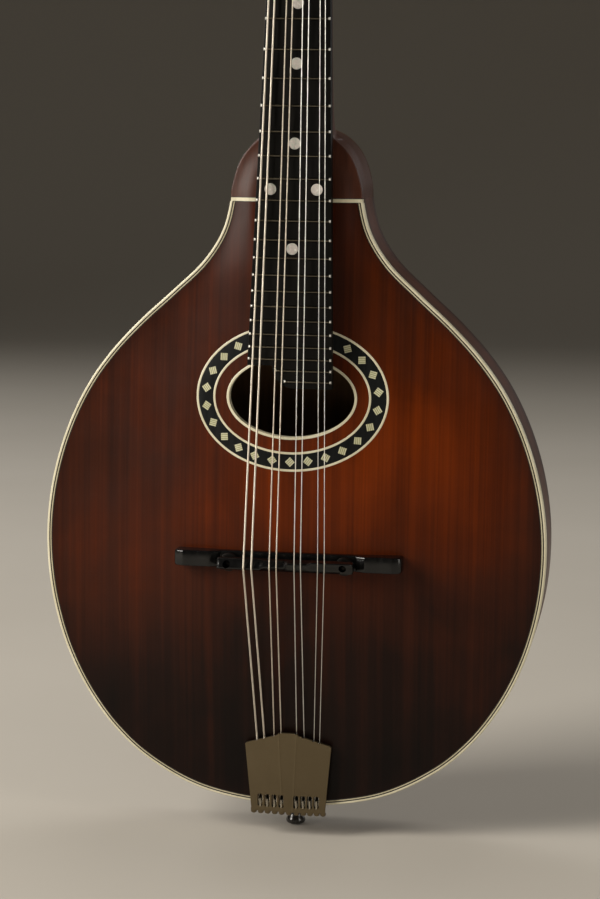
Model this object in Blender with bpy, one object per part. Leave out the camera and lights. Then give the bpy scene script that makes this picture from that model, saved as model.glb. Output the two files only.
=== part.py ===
# A-style mandolin with an oval sound hole.
#
# Frame: metres, +Z runs up the neck, the front of the instrument faces -Y and
# +X is to the right of someone who looks at the front.  The origin is the
# centre of the end pin's flat outer face.
#
# The drawing is made in millimetres with (x, h, z): x as above, h the height
# over the plane of the top binding (towards the player's pick), and z the
# height over the twelfth fret, where the neck meets the body.
import bpy
import bmesh
import math
import numpy as np
from mathutils import Vector, Matrix

MM = 0.001

# ---------------------------------------------------------------- dimensions
SCALE = 352.4            # string length, nut to bridge: 13 7/8 in
Z12 = 321.0              # twelfth fret above the end pin's outer face
RIM = 42.0               # depth of the sides with the edges of both plates
PIN_H = -21.0            # the end pin is at half the depth of the sides

PITCH = math.radians(4.44)        # neck set back from the plane of the top
TP = math.tan(PITCH)
FRET_TOP = 10.3          # fret tops over the top's edge plane, at z = 0
FRET_H = 1.0
BOARD_T = 5.5            # fingerboard thickness
GAP = 0.3

TOP_T = 4.0              # thickness of the carved top
BACK_T = 3.5
SIDE_T = 2.3
BIND_W = 1.6             # cream binding, width seen from the front
BIND_H = 4.0
TOP_ARCH = 10.6
BACK_ARCH = 12.0

HOLE_Z = -96.9           # centre of the sound hole
HOLE_A, HOLE_B = 31.0, 19.2
BAND_IN = (38.6, 27.0)   # rosette band, inner and outer half axes
BAND_OUT = (48.1, 36.4)

# half outline of the body, (half width, z), from the neck joint to the tail
HALF = [(32.4, 6.0), (33.0, 0.0), (36.8, -15.0), (46.0, -30.0), (61.4, -45.0),
        (77.8, -60.0), (92.0, -75.0), (103.2, -90.0), (111.5, -105.0),
        (117.7, -120.0), (122.2, -135.0), (125.2, -150.0), (126.7, -165.0),
        (126.7, -180.0), (125.3, -195.0), (122.4, -210.0), (118.0, -225.0),
        (111.7, -240.0), (103.1, -255.0), (91.5, -270.0), (74.5, -285.0),
        (44.8, -300.0), (0.0, -306.0)]
# rounded shoulder of the heel above the joint
SHOULDER = [(33.0, 0.0), (32.6, 5.0), (31.2, 11.0), (29.2, 17.0), (26.4, 22.0),
            (22.6, 26.4), (17.8, 30.0), (12.0, 32.4), (6.0, 33.7), (0.0, 34.2)]

NUT_HALF = 13.8          # half width of the fingerboard at the nut
END_HALF = 21.2          # and at the 24th fret
FRETS = 24

# strings, bass to treble: radius, x at the nut, at the bridge, where they
# pass under the tailpiece's edge, and at their hooks
STRING_R = [0.50, 0.50, 0.33, 0.33, 0.24, 0.24, 0.19, 0.19]
NUT_X = [-12.4, -9.8, -4.8, -1.9, 1.9, 4.9, 9.5, 11.8]
BRIDGE_X = [-20.0, -16.0, -7.1, -3.6, 5.3, 8.5, 17.0, 20.3]
EDGE_X = [-16.4, -12.6, -7.5, -3.9, 4.0, 7.8, 12.9, 15.8]
HOOK_X = [-14.3, -10.7, -7.0, -3.4, 4.2, 7.7, 11.1, 14.5]
BRIDGE_Z = -178.5
BRIDGE_H = 26.2          # string centres over the bridge

# headstock
HEAD_TILT = math.radians(15.0) + PITCH
HEAD_T = 12.0
OVERLAY_T = 2.2
HEAD_Z = SCALE / 2 + 3.4
POST_U = [42.0, 65.0, 88.0, 111.0]
POST_X = 19.0
HEAD_HALF = [(0.0, 13.9), (8.0, 14.4), (14.0, 17.0), (20.0, 22.5), (27.0, 28.5),
             (35.0, 32.0), (44.0, 33.0), (60.0, 32.2), (80.0, 30.6),
             (100.0, 28.9), (118.0, 27.4), (128.0, 26.2), (134.0, 24.0),
             (138.0, 20.5), (141.0, 14.0), (142.8, 7.0), (143.4, 1.2)]

# tuning machines
TEETH = 15
WORM_PITCH = 2.0
GEAR_R = TEETH * WORM_PITCH / (2 * math.pi)
WORM_R = 2.25
CENTRES = 7.03
PLATE_N0 = -HEAD_T - GAP
PLATE_T = 1.2
WORM_N = PLATE_N0 - PLATE_T - 0.3 - 2.7
GEAR_T = 3.0

# ---------------------------------------------------------------- clean start
for ob in list(bpy.data.objects):
    bpy.data.objects.remove(ob, do_unlink=True)

PARTS = bpy.data.collections.new("a_style_mandolin")
CUTS = bpy.data.collections.new("cutters")
bpy.context.scene.collection.children.link(PARTS)
bpy.context.scene.collection.children.link(CUTS)


def material(name, colour, rough, metal=0.0):
    m = bpy.data.materials.new(name)
    m.use_nodes = True
    b = m.node_tree.nodes["Principled BSDF"]
    b.inputs["Base Color"].default_value = (*colour, 1.0)
    b.inputs["Roughness"].default_value = rough
    b.inputs["Metallic"].default_value = metal
    m.diffuse_color = (*colour, 1.0)
    return m


SUNBURST = (0.10, 0.022, 0.007)
DARKWOOD = (0.045, 0.015, 0.008)
SPRUCE = (0.55, 0.38, 0.20)
MAPLE = (0.50, 0.33, 0.18)
EBONY = (0.012, 0.011, 0.010)
IVORY = (0.78, 0.70, 0.50)
NICKEL = (0.55, 0.52, 0.46)
STEEL = (0.62, 0.60, 0.57)
BRONZE = (0.60, 0.47, 0.30)


def P(x, h, z):
    """Drawing millimetres to metres in the part's frame."""
    return Vector((x * MM, -(h - PIN_H) * MM, (z + Z12) * MM))


def add(name, mesh, colour, rough=0.4, metal=0.0, matrix=None, cutter=False):
    ob = bpy.data.objects.new(name, mesh)
    (CUTS if cutter else PARTS).objects.link(ob)
    if matrix is not None:
        ob.matrix_world = matrix
    if cutter:
        ob.hide_render = True
        ob.display_type = "WIRE"
    else:
        mesh.materials.append(material(name, colour, rough, metal))
    return ob


def finish_bm(bm, name, smooth=None):
    bmesh.ops.remove_doubles(bm, verts=bm.verts[:], dist=1e-7)
    bmesh.ops.dissolve_degenerate(bm, edges=bm.edges[:], dist=1e-8)
    bmesh.ops.recalc_face_normals(bm, faces=bm.faces[:])
    me = bpy.data.meshes.new(name)
    bm.to_mesh(me)
    bm.free()
    if smooth is not None:
        me.shade_smooth()
        me.set_sharp_from_angle(angle=math.radians(smooth))
    return me


def boolean(target, cutter, how="DIFFERENCE"):
    m = target.modifiers.new(how.lower(), "BOOLEAN")
    m.operation = how
    m.solver = "EXACT"
    m.object = cutter
    cutter.hide_render = True
    cutter.display_type = "WIRE"


# ---------------------------------------------------------------- outlines
def spline(points, per=10, closed=False):
    """Smooth curve through the points (centripetal Catmull-Rom)."""
    p = [np.array(q, float) for q in points]
    p = [2 * p[0] - p[1]] + p + [2 * p[-1] - p[-2]]
    out = []
    for i in range(1, len(p) - 2):
        p0, p1, p2, p3 = p[i - 1:i + 3]
        t0 = 0.0
        t1 = t0 + math.sqrt(np.linalg.norm(p1 - p0))
        t2 = t1 + math.sqrt(np.linalg.norm(p2 - p1))
        t3 = t2 + math.sqrt(np.linalg.norm(p3 - p2))
        for k in range(per):
            t = t1 + (t2 - t1) * k / per
            a1 = (t1 - t) / (t1 - t0) * p0 + (t - t0) / (t1 - t0) * p1
            a2 = (t2 - t) / (t2 - t1) * p1 + (t - t1) / (t2 - t1) * p2
            a3 = (t3 - t) / (t3 - t2) * p2 + (t - t2) / (t3 - t2) * p3
            b1 = (t2 - t) / (t2 - t0) * a1 + (t - t0) / (t2 - t0) * a2
            b2 = (t3 - t) / (t3 - t1) * a2 + (t - t1) / (t3 - t1) * a3
            out.append((t2 - t) / (t2 - t1) * b1 + (t - t1) / (t2 - t1) * b2)
    out.append(p[-2])
    return np.array(out)


_full = HALF + [(-44.8, -300.0)]
BODY = spline(_full, 12)[:12 * (len(HALF) - 1) + 1]
SHOULD = spline([(36.8, -15.0)] + SHOULDER + [(-6.0, 33.7)], 8)[8:8 * len(SHOULDER) + 1]


def offset(curve, d):
    """Curve moved inwards by d (the curve runs clockwise on the +x side)."""
    t = np.gradient(curve, axis=0)
    t /= np.linalg.norm(t, axis=1)[:, None]
    n = np.stack([t[:, 1], -t[:, 0]], axis=1)
    return curve + d * n


def resample(curve, n):
    s = np.r_[0, np.cumsum(np.linalg.norm(np.diff(curve, axis=0), axis=1))]
    u = np.linspace(0, s[-1], n)
    return np.stack([np.interp(u, s, curve[:, k]) for k in (0, 1)], axis=1)


def clip_z(curve, z_top):
    """The part of a falling curve under z_top, starting exactly there."""
    k = int(np.argmax(curve[:, 1] < z_top))
    a, b = curve[k - 1], curve[k]
    f = (a[1] - z_top) / (a[1] - b[1])
    return np.vstack([a + f * (b - a), curve[k:]])


def inner(d, n=34, z_top=0.8):
    """Half outline moved in by d: the same stations for every d, so the
    edges of neighbouring pieces stay parallel."""
    base = clip_z(BODY, 0.8)
    s = np.r_[0, np.cumsum(np.linalg.norm(np.diff(base, axis=0), axis=1))]
    dense = resample(base, 400)
    tan = np.gradient(dense, axis=0)
    tan /= np.linalg.norm(tan, axis=1)[:, None]
    k = np.round(np.linspace(0, 399, n)).astype(int)
    c = dense[k] + d * np.stack([tan[k, 1], -tan[k, 0]], axis=1)
    c[0][1] = z_top
    c[-1] = (0.0, c[-1][1])
    return c


_order = np.argsort(BODY[:, 1])


def half_width(z):
    return float(np.interp(z, BODY[_order, 1], BODY[_order, 0]))


EDGE = np.vstack([spline(SHOULDER, 6)[::-1][20:], BODY[13:]])


def edge_distance(x, z):
    p = np.array([abs(x), z])
    a, b = EDGE[:-1], EDGE[1:]
    ab = b - a
    t = np.clip(((p - a) * ab).sum(1) / np.maximum((ab * ab).sum(1), 1e-9), 0, 1)
    return float(np.min(np.linalg.norm(a + t[:, None] * ab - p, axis=1)))


def ease(t):
    t = min(1.0, max(0.0, t))
    return t * t * (3 - 2 * t)


def board_under(z):
    return FRET_TOP - FRET_H - BOARD_T - z * TP


def board_top(z):
    return FRET_TOP - FRET_H - z * TP


def top_crown(z):
    """Height of the top's centre line: it meets the fingerboard's underside."""
    a, b, k = board_under(z) - 0.38, TOP_ARCH, 1.6
    m = min(a, b)
    return m - k * math.log(math.exp(-(a - m) / k) + math.exp(-(b - m) / k)) * 0.35


def top_h(x, z):
    d_full = 107.0 if z < -172.0 else max(12.0, half_width(z) - 20.0)
    return top_crown(z) * ease(edge_distance(x, z) / d_full)


def back_h(x, z):
    d_full = 122.0 if z < -172.0 else max(24.0, half_width(min(z, 0.0)) - 5.0)
    crown = BACK_ARCH * ease((20.0 - z) / 140.0)
    return -RIM - crown * ease(edge_distance(x, z) / d_full)


# ---------------------------------------------------------------- solids
def grid_solid(name, xz, top, bottom, smooth=None, closed=False):
    """Solid over a grid of (x, z) points, between two height functions."""
    n, m = len(xz), len(xz[0])
    bm = bmesh.new()
    up = [[bm.verts.new(P(x, top(x, z), z)) for x, z in row] for row in xz]
    dn = [[bm.verts.new(P(x, bottom(x, z), z)) for x, z in row] for row in xz]
    for i in range(n - 1):
        for j in range(m - 1):
            bm.faces.new((up[i][j], up[i][j + 1], up[i + 1][j + 1], up[i + 1][j]))
            bm.faces.new((dn[i][j], dn[i + 1][j], dn[i + 1][j + 1], dn[i][j + 1]))
        for j in (0, m - 1):
            f = (up[i][j], up[i + 1][j], dn[i + 1][j], dn[i][j])
            bm.faces.new(f if j == 0 else f[::-1])
    if not closed:
        for i in (0, n - 1):
            for j in range(m - 1):
                f = (up[i][j], dn[i][j], dn[i][j + 1], up[i][j + 1])
                bm.faces.new(f if i == 0 else f[::-1])
    return finish_bm(bm, name, smooth)


def prism(name, outline, upper, lower, smooth=None):
    """Solid between an outline mapped by two functions of (a, b)."""
    bm = bmesh.new()
    a = [bm.verts.new(upper(u, v)) for u, v in outline]
    b = [bm.verts.new(lower(u, v)) for u, v in outline]
    bm.faces.new(a)
    bm.faces.new(b[::-1])
    k = len(outline)
    for i in range(k):
        bm.faces.new((a[i], a[(i + 1) % k], b[(i + 1) % k], b[i]))
    return finish_bm(bm, name, smooth)


def chords(curve, us):
    """Rows across the body between the curve and its mirror image."""
    return [[(u * x, z) for u in us] for x, z in curve]


def turned(name, profile, n, frame, smooth=30.0):
    """Closed turned solid: profile of (radius, height) along the frame's Z."""
    bm = bmesh.new()
    rings = []
    for r, s in profile:
        if r < 1e-6:
            rings.append([bm.verts.new((0, 0, s * MM))])
        else:
            rings.append([bm.verts.new((r * MM * math.cos(2 * math.pi * k / n),
                                        r * MM * math.sin(2 * math.pi * k / n),
                                        s * MM)) for k in range(n)])
    for a, b in zip(rings[:-1], rings[1:]):
        for k in range(n):
            q = [a[k % len(a)], a[(k + 1) % len(a)], b[(k + 1) % len(b)], b[k % len(b)]]
            q = list(dict.fromkeys(q))
            if len(q) > 2:
                bm.faces.new(q)
    for ring in (rings[0], rings[-1]):
        if len(ring) > 1:
            bm.faces.new(ring if ring is rings[-1] else ring[::-1])
    bmesh.ops.transform(bm, matrix=frame, verts=bm.verts[:])
    return finish_bm(bm, name, smooth)


def box_mesh(name, x0, x1, y0, y1, z0, z1, frame=None):
    bm = bmesh.new()
    bmesh.ops.create_cube(bm, size=1.0)
    for v in bm.verts:
        v.co = Vector(((x0 + x1) / 2 + v.co.x * (x1 - x0),
                       (y0 + y1) / 2 + v.co.y * (y1 - y0),
                       (z0 + z1) / 2 + v.co.z * (z1 - z0))) * MM
    if frame is not None:
        bmesh.ops.transform(bm, matrix=frame, verts=bm.verts[:])
    return finish_bm(bm, name)


def drawing_box(name, x0, x1, h0, h1, z0, z1):
    """Box given in the drawing's (x, h, z)."""
    a, b = P(x0, h0, z0), P(x1, h1, z1)
    bm = bmesh.new()
    bmesh.ops.create_cube(bm, size=1.0)
    for v in bm.verts:
        v.co = Vector([(a[i] + b[i]) / 2 + v.co[i] * abs(b[i] - a[i]) for i in range(3)])
    return finish_bm(bm, name)


# frame of the body: local X, Y, Z are x, z and h of the drawing
BODY_FRAME = Matrix.Translation(P(0, 0, 0)) @ Matrix(((1, 0, 0, 0), (0, 0, -1, 0),
                                                      (0, 1, 0, 0), (0, 0, 0, 1)))


def at_body(x, h, z):
    """Frame at a drawing point whose local Z points out of the top."""
    return Matrix.Translation(P(x, h, z)) @ BODY_FRAME.to_3x3().to_4x4()


# ------------------------------------------------------------ top, back, sides
US = [-1, -0.9, -0.74, -0.5, -0.24, 0, 0.24, 0.5, 0.74, 0.9, 1]
rows = inner(BIND_W + GAP, z_top=-1.1)
top_plate = add("top_plate", grid_solid(
    "top_plate", chords(rows, US), top_h, lambda x, z: top_h(x, z) - TOP_T, 40),
    SUNBURST, 0.35)


def ellipse(a, b, n):
    return [(a * math.sin(2 * math.pi * k / n), HOLE_Z + b * math.cos(2 * math.pi * k / n))
            for k in range(n)]


hole = add("hole_cut", prism("hole_cut", ellipse(HOLE_A, HOLE_B, 28),
                             lambda x, z: P(x, 20, z), lambda x, z: P(x, -10, z)),
           None, cutter=True)


def ring(name, inside, outside, up, down, n=40, cols=3):
    rowsr = []
    for k in range(n + 1):
        a = 2 * math.pi * k / n
        rowsr.append([((inside[0] + (outside[0] - inside[0]) * j / (cols - 1)) * math.sin(a),
                       HOLE_Z + (inside[1] + (outside[1] - inside[1]) * j / (cols - 1))
                       * math.cos(a)) for j in range(cols)])
    rowsr[-1] = rowsr[0]
    return grid_solid(name, rowsr, up, down, 40, closed=True)


band_cut = add("band_cut", ring("band_cut", (BAND_IN[0] - GAP, BAND_IN[1] - GAP),
                                (BAND_OUT[0] + GAP, BAND_OUT[1] + GAP),
                                lambda x, z: top_h(x, z) + 3.0,
                                lambda x, z: top_h(x, z) - 1.6, 28, 2), None, cutter=True)
boolean(top_plate, hole)
boolean(top_plate, band_cut)

rosette = add("rosette", ring("rosette", BAND_IN, BAND_OUT,
                              lambda x, z: top_h(x, z) - 0.02,
                              lambda x, z: top_h(x, z) - 1.2, 28, 2), IVORY, 0.4)

back_rows = resample(np.vstack([SHOULD[::-1][:-1], BODY[12:]]), 30)
back_rows[0][0] = 0.0
back_rows[-1][0] = 0.0
UB = [-1, -0.86, -0.62, -0.32, 0, 0.32, 0.62, 0.86, 1]
back_plate = add("back_plate", grid_solid(
    "back_plate", chords(back_rows, UB), lambda x, z: back_h(x, z) + BACK_T, back_h, 40),
    DARKWOOD, 0.35)

SIDE_TOP = -TOP_T - GAP
SIDE_BOT = -RIM + BACK_T + GAP


def strip(name, d0, d1, top, bottom, sign, x_end=None):
    a, b = inner(d0), inner(d1)
    if x_end is not None:
        a[-1][0] = b[-1][0] = x_end
    xz = [[(sign * p[0], p[1]), (sign * q[0], q[1])] for p, q in zip(a, b)]
    return grid_solid(name, xz, top, bottom, 40)


for nm, sg in (("side_bass", -1), ("side_treble", 1)):
    add(nm, strip(nm, 0.0, SIDE_T, lambda x, z: SIDE_TOP, lambda x, z: SIDE_BOT,
                  sg, x_end=0.15), (0.14, 0.035, 0.012), 0.35)

# binding: a strip set round the top's edge, and the strip across the joint
ub = inner(0.0)
uc = inner(BIND_W)
loop = [[tuple(p), tuple(q)] for p, q in zip(ub, uc)]
loop += [[(-p[0], p[1]), (-q[0], q[1])] for p, q in zip(ub[::-1][1:], uc[::-1][1:])]
top_binding = add("top_binding", grid_solid("top_binding", loop, lambda x, z: 0.0,
                                            lambda x, z: -BIND_H, 40), IVORY, 0.35)
cross = add("cross_strip", grid_solid(
    "cross_strip", [[(u, 0.74) for u in np.linspace(-32.3, 32.3, 13)],
                    [(u, -0.74) for u in np.linspace(-32.3, 32.3, 13)]],
    lambda x, z: top_h(x, 0.0) - 0.02, lambda x, z: -BIND_H + 0.1), None, cutter=True)
boolean(top_binding, cross, "UNION")

# blocks: solid from plate to plate inside the sides
IN = SIDE_T + GAP


def under_top(x, z):
    return top_h(x, z) - TOP_T - 0.8


def over_back(x, z):
    return back_h(x, z) + BACK_T + 1.0


BLOCK_END = -40.0
nb = [[(u * (half_width(z) - IN - 0.2), z) for u in (-1, -0.6, -0.3, 0, 0.3, 0.6, 1)]
      for z in (-1.4, -10.0, -20.0, -30.0, BLOCK_END)]
# the block is narrower than the body at its inner end
for row, lim in zip(nb, (99, 99, 34.0, 36.0, 38.0)):
    for j, (x, z) in enumerate(row):
        row[j] = (max(-lim, min(lim, x)), z)
neck_block = add("neck_block", grid_solid("neck_block", nb, under_top, over_back), MAPLE, 0.7)
MORT = 11.4
mort = add("mortise", drawing_box("mortise", -MORT, MORT, -33.0, 12.0, -30.4, 5.0), None,
           cutter=True)
boolean(neck_block, mort)

tb = []
for x in (-24.0, -16.0, -8.0, 0.0, 8.0, 16.0, 24.0):
    c = inner(IN + 0.3, 160)
    zi = float(np.interp(abs(x), c[::-1, 0], c[::-1, 1]))
    tb.append([(x, zi), (x, (zi - 286.0) / 2), (x, -286.0)])
tail_block = add("tail_block", grid_solid("tail_block", tb, under_top, over_back), MAPLE, 0.7)
PIN_FRAME = Matrix.Translation(P(0, PIN_H, -Z12))
pin_hole = add("pin_hole", turned("pin_hole", [(3.75, 0), (3.75, 40.0)], 16, PIN_FRAME), None,
               cutter=True)
boolean(tail_block, pin_hole)
for nm in ("side_bass", "side_treble", "back_plate"):
    if nm != "back_plate":
        boolean(bpy.data.objects[nm], pin_hole)

# linings: strips that widen the glue face between the sides and the plates
for nm, sg, hi in (("top_lining_bass", -1, True), ("top_lining_treble", 1, True),
                   ("back_lining_bass", -1, False), ("back_lining_treble", 1, False)):
    a, b = inner(IN), inner(IN + 5.0)
    keep = [k for k in range(len(a)) if a[k][1] < -41.0 and min(a[k][0], b[k][0]) > 25.5]
    xz = [[(sg * a[k][0], a[k][1]), (sg * b[k][0], b[k][1])] for k in keep]
    if hi:
        add(nm, grid_solid(nm, xz, lambda x, z: SIDE_TOP - 0.1, lambda x, z: SIDE_TOP - 7.0),
            SPRUCE, 0.7)
    else:
        add(nm, grid_solid(nm, xz, lambda x, z: SIDE_BOT + 7.0, lambda x, z: SIDE_BOT + 0.1),
            SPRUCE, 0.7)

bz = [-129.0, -123.0]
bx = [-108, -96, -72, -48, -24, 0, 24, 48, 72, 96, 108]
top_brace = add("top_brace", grid_solid(
    "top_brace", [[(x, z) for x in bx] for z in bz], under_top,
    lambda x, z: under_top(x, z) - (11.0 if abs(x) < 90 else 3.5)), SPRUCE, 0.7)

# ---------------------------------------------------------------- neck
HEAD_H0 = board_under(HEAD_Z) - GAP
SN, CN = math.sin(HEAD_TILT), math.cos(HEAD_TILT)
HEAD = Matrix.Translation(P(0, HEAD_H0, HEAD_Z)) @ Matrix((
    (1, 0, 0, 0), (0, SN, -CN, 0), (0, CN, SN, 0), (0, 0, 0, 1)))
# local axes of HEAD: X, then u up the headstock, then n out of its front


def board_half(z):
    return NUT_HALF + (SCALE / 2 - z) * (END_HALF - NUT_HALF) / 264.3


def smooth_list(pairs, v):
    xs = [p[0] for p in pairs]
    ys = [p[1] for p in pairs]
    return float(np.interp(v, xs, ys))


heel_rows = resample(SHOULD, 16)
heel_rows[-1][0] = 0.0
heel_rows = [r for r in clip_z(heel_rows[::-1], 1.1)]
heel_rows[-1] = heel_rows[-1]


def heel_rows_fix():
    c = SHOULD[::-1]                      # falls from the crown of the dome
    k = int(np.argmax(c[:, 1] < 1.1))
    a, b = c[k - 1], c[k]
    f = (a[1] - 1.1) / (a[1] - b[1])
    c = np.vstack([c[:k], a + f * (b - a)])
    c = resample(c, 14)
    c[0][0] = 0.0
    return c


def heel_top(x, z):
    """Shoulder beside the fingerboard: flush with the top at the joint."""
    return (board_under(z) - 0.4) * ease(edge_distance(x, z) / 12.0)


heel = add("heel_body", grid_solid(
    "heel_body", chords(heel_rows_fix(), [-1, -0.85, -0.6, -0.3, 0, 0.3, 0.6, 0.85, 1]),
    heel_top, lambda x, z: SIDE_BOT), None, cutter=True)


def section(x_half, depth, m, k=12):
    """Neck section: m = 0 is the rounded back of the neck, m = 1 a box."""
    pts = []
    for i in range(k):
        a = math.pi * i / (k - 1)
        e = 2 / 2.35
        ux = math.copysign(abs(math.cos(a)) ** e, math.cos(a))
        uy = abs(math.sin(a)) ** e
        r = i / (k - 1)
        q = r if r <= 0.5 else 1 - r
        bx_, by_ = (1.0, q / 0.19) if q < 0.19 else (1.0 - (q - 0.19) / 0.31, 1.0)
        if r > 0.5:
            bx_ = -bx_
        pts.append((x_half * (ux + m * (bx_ - ux)), -depth * (uy + m * (by_ - uy))))
    return pts


NECK_ROWS = []                 # (h, z of the flat face, tilt, half width, depth, m)
for z, low, m in ((8.0, -37.9, 0.6), (24.0, -37.9, 0.4), (31.0, -37.7, 0.25),
                  (34.5, -36.0, 0.12), (38.0, -30.5, 0.03), (42.5, -25.5, 0.0),
                  (49.0, -21.8, 0.0), (59.0, -19.4, 0.0), (75.0, -18.4, 0.0),
                  (105.0, -19.8, 0.0), (135.0, -21.6, 0.0), (158.0, -23.0, 0.0)):
    h = board_under(z) - GAP
    NECK_ROWS.append((h, z, 0.0, board_half(z) - 0.15, h - low, m))
NECK_ROWS.append((board_under(169.0) - GAP, 169.0, math.radians(4.5), board_half(169.0), 13.4, 0.0))
NECK_ROWS.append((HEAD_H0, HEAD_Z, math.radians(11.5), 13.9, 13.0, 0.15))
for u in (5.0, 9.0, 14.0, 20.0, 27.0, 35.0, 44.0, 60.0, 80.0, 100.0, 118.0, 128.0, 134.0,
          138.0, 141.0, 142.8, 143.4):
    NECK_ROWS.append((HEAD_H0 - u * SN, HEAD_Z + u * CN, HEAD_TILT,
                      smooth_list(HEAD_HALF, u), HEAD_T,
                      min(1.0, 0.5 + u / 18.0)))

bm = bmesh.new()
prev = None
for h, z, tilt, hw, dep, m in NECK_ROWS:
    cur = [bm.verts.new(P(x, h + d * math.cos(tilt), z + d * math.sin(tilt)))
           for x, d in section(hw, dep, m)]
    if prev is None:
        bm.faces.new(cur)
    else:
        k = len(cur)
        for i in range(k):
            bm.faces.new((prev[i], prev[(i + 1) % k], cur[(i + 1) % k], cur[i]))
    prev = cur
bm.faces.new(prev[::-1])
neck = add("neck", finish_bm(bm, "neck", 35), DARKWOOD, 0.35)
boolean(neck, heel, "UNION")
tenon = add("tenon", drawing_box("tenon", -11.0, 11.0, -32.6, -4.4, -30.0, 6.0), None, cutter=True)
boolean(neck, tenon, "UNION")


def along_board(dn):
    """Map (x, z) to the plane dn below the fingerboard's underside."""
    return lambda x, z: P(x, board_under(z) - dn, z)


channel = add("rod_channel", prism("rod_channel", [(-2.9, 14.0), (2.9, 14.0), (2.9, 200.0),
                                                   (-2.9, 200.0)],
                                   along_board(-6.0), along_board(8.6)), None, cutter=True)
boolean(neck, channel)
ROD_R = 2.4
rod_a, rod_b = P(0, board_under(15.0) - 5.4, 15.0), P(0, board_under(186.0) - 5.4, 186.0)
rod_dir = (rod_b - rod_a).normalized()
rod_frame = Matrix.Translation(rod_a) @ rod_dir.to_track_quat("Z", "Y").to_matrix().to_4x4()
truss_rod = add("truss_rod", turned("truss_rod", [(ROD_R, 0), (ROD_R, (rod_b - rod_a).length
                                                              / MM)], 12, rod_frame),
                STEEL, 0.35, 1.0)

# ---------------------------------------------------------------- fingerboard
BOARD = [(-NUT_HALF, SCALE / 2 - 0.3), (-board_half(-80.6), -80.6), (-8.6, -80.6),
         (-8.0, -84.0), (-5.6, -87.6), (-2.4, -90.2), (1.0, -91.6),
         (board_half(-91.6), -91.6), (NUT_HALF, SCALE / 2 - 0.3)]
fretboard = add("fretboard", prism("fretboard", BOARD, lambda x, z: P(x, board_top(z), z),
                                   lambda x, z: P(x, board_under(z), z)), EBONY, 0.4)
groove = add("fret_groove", prism("fret_groove", [(-1.3, 160.0), (1.3, 160.0), (1.3, -90.0),
                                                  (-1.3, -90.0)],
                                  lambda x, z: P(x, board_top(z) + 2.0, z),
                                  lambda x, z: P(x, board_top(z) - 1.6, z)), None, cutter=True)
boolean(fretboard, groove)

fret_set = add("fret_set", prism("fret_set", [(-0.95, 158.0), (0.95, 158.0), (0.95, -89.2),
                                              (-0.95, -89.2)],
                                 lambda x, z: P(x, board_top(z) + 0.5, z),
                                 lambda x, z: P(x, board_top(z) - 1.2, z)), STEEL, 0.3, 1.0)
bars = bmesh.new()
for n in range(1, FRETS + 1):
    zf = SCALE * 2 ** (-n / 12) - SCALE / 2
    right = board_half(zf) - 0.7
    left = -right
    if n == 23:
        left = -7.6
    if n == 24:
        left = -2.0
    corners = [(left, zf - 1.0), (right, zf - 1.0), (right, zf + 1.0), (left, zf + 1.0)]
    lo = [bars.verts.new(P(x, board_top(z) + GAP, z)) for x, z in corners]
    hi = [bars.verts.new(P(x, board_top(z) + FRET_H, z)) for x, z in
          [(left + 0.3, zf - 0.5), (right - 0.3, zf - 0.5), (right - 0.3, zf + 0.5),
           (left + 0.3, zf + 0.5)]]
    bars.faces.new(lo)
    bars.faces.new(hi[::-1])
    for i in range(4):
        bars.faces.new((lo[i], hi[i], hi[(i + 1) % 4], lo[(i + 1) % 4]))
bar_ob = add("fret_bars", finish_bm(bars, "fret_bars"), None, cutter=True)
boolean(fret_set, bar_ob, "UNION")

NUT_TOP_BASS = FRET_TOP - (SCALE / 2) * TP + 0.35
nut = add("nut", prism("nut", [(-13.9, 0.05), (13.9, 0.05), (13.9, 3.1), (-13.9, 3.1)],
                       lambda x, s: P(x, NUT_TOP_BASS - 0.12 * s, SCALE / 2 + s),
                       lambda x, s: P(x, board_under(SCALE / 2 + s), SCALE / 2 + s)),
          IVORY, 0.35)

# ---------------------------------------------------------------- headstock face
def head_outline(inset, u0, u1):
    us = [u0] + [p[0] for p in HEAD_HALF if u0 + 1 < p[0] < u1 - 0.2] + [u1]
    right = [(smooth_list(HEAD_HALF, u) - inset, u) for u in us]
    return [(-x, u) for x, u in right] + right[::-1]


def head_map(n):
    return lambda x, u: HEAD @ Vector((x * MM, u * MM, n * MM))


overlay = add("headstock_overlay", prism("headstock_overlay", head_outline(0.0, 1.2, 143.0),
                                         head_map(GAP + OVERLAY_T), head_map(GAP)), EBONY, 0.25)
COVER = [(-7.5, 2.2), (-8.6, 8.0), (-8.0, 16.0), (-4.8, 24.0), (0.0, 29.0), (4.8, 24.0),
         (8.0, 16.0), (8.6, 8.0), (7.5, 2.2)]
cover = add("truss_rod_cover", prism("truss_rod_cover", COVER,
                                     head_map(GAP + OVERLAY_T + 0.3 + 1.6),
                                     head_map(GAP + OVERLAY_T + 0.3)), EBONY, 0.3)
pocket = add("rod_pocket", prism("rod_pocket", [(-4.2, -1.0), (4.2, -1.0), (4.2, 20.0),
                                                (0.0, 24.0), (-4.2, 20.0)],
                                 head_map(GAP + OVERLAY_T + 0.15), head_map(-6.0)), None,
             cutter=True)
boolean(overlay, pocket)
boolean(neck, pocket)

# ---------------------------------------------------------------- tuning machines
FRONT = GAP + OVERLAY_T              # front face of the overlay, along n
holes = bmesh.new()
for sx in (-1, 1):
    for u in POST_U:
        geo = bmesh.ops.create_cone(holes, cap_ends=True, segments=9, radius1=3.6 * MM,
                                    radius2=3.6 * MM, depth=60 * MM)
        bmesh.ops.transform(holes, matrix=HEAD @ Matrix.Translation(
            (sx * POST_X * MM, u * MM, 0)), verts=geo["verts"])
hole_ob = add("post_holes", finish_bm(holes, "post_holes"), None, cutter=True)
boolean(neck, hole_ob)
boolean(overlay, hole_ob)


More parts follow.
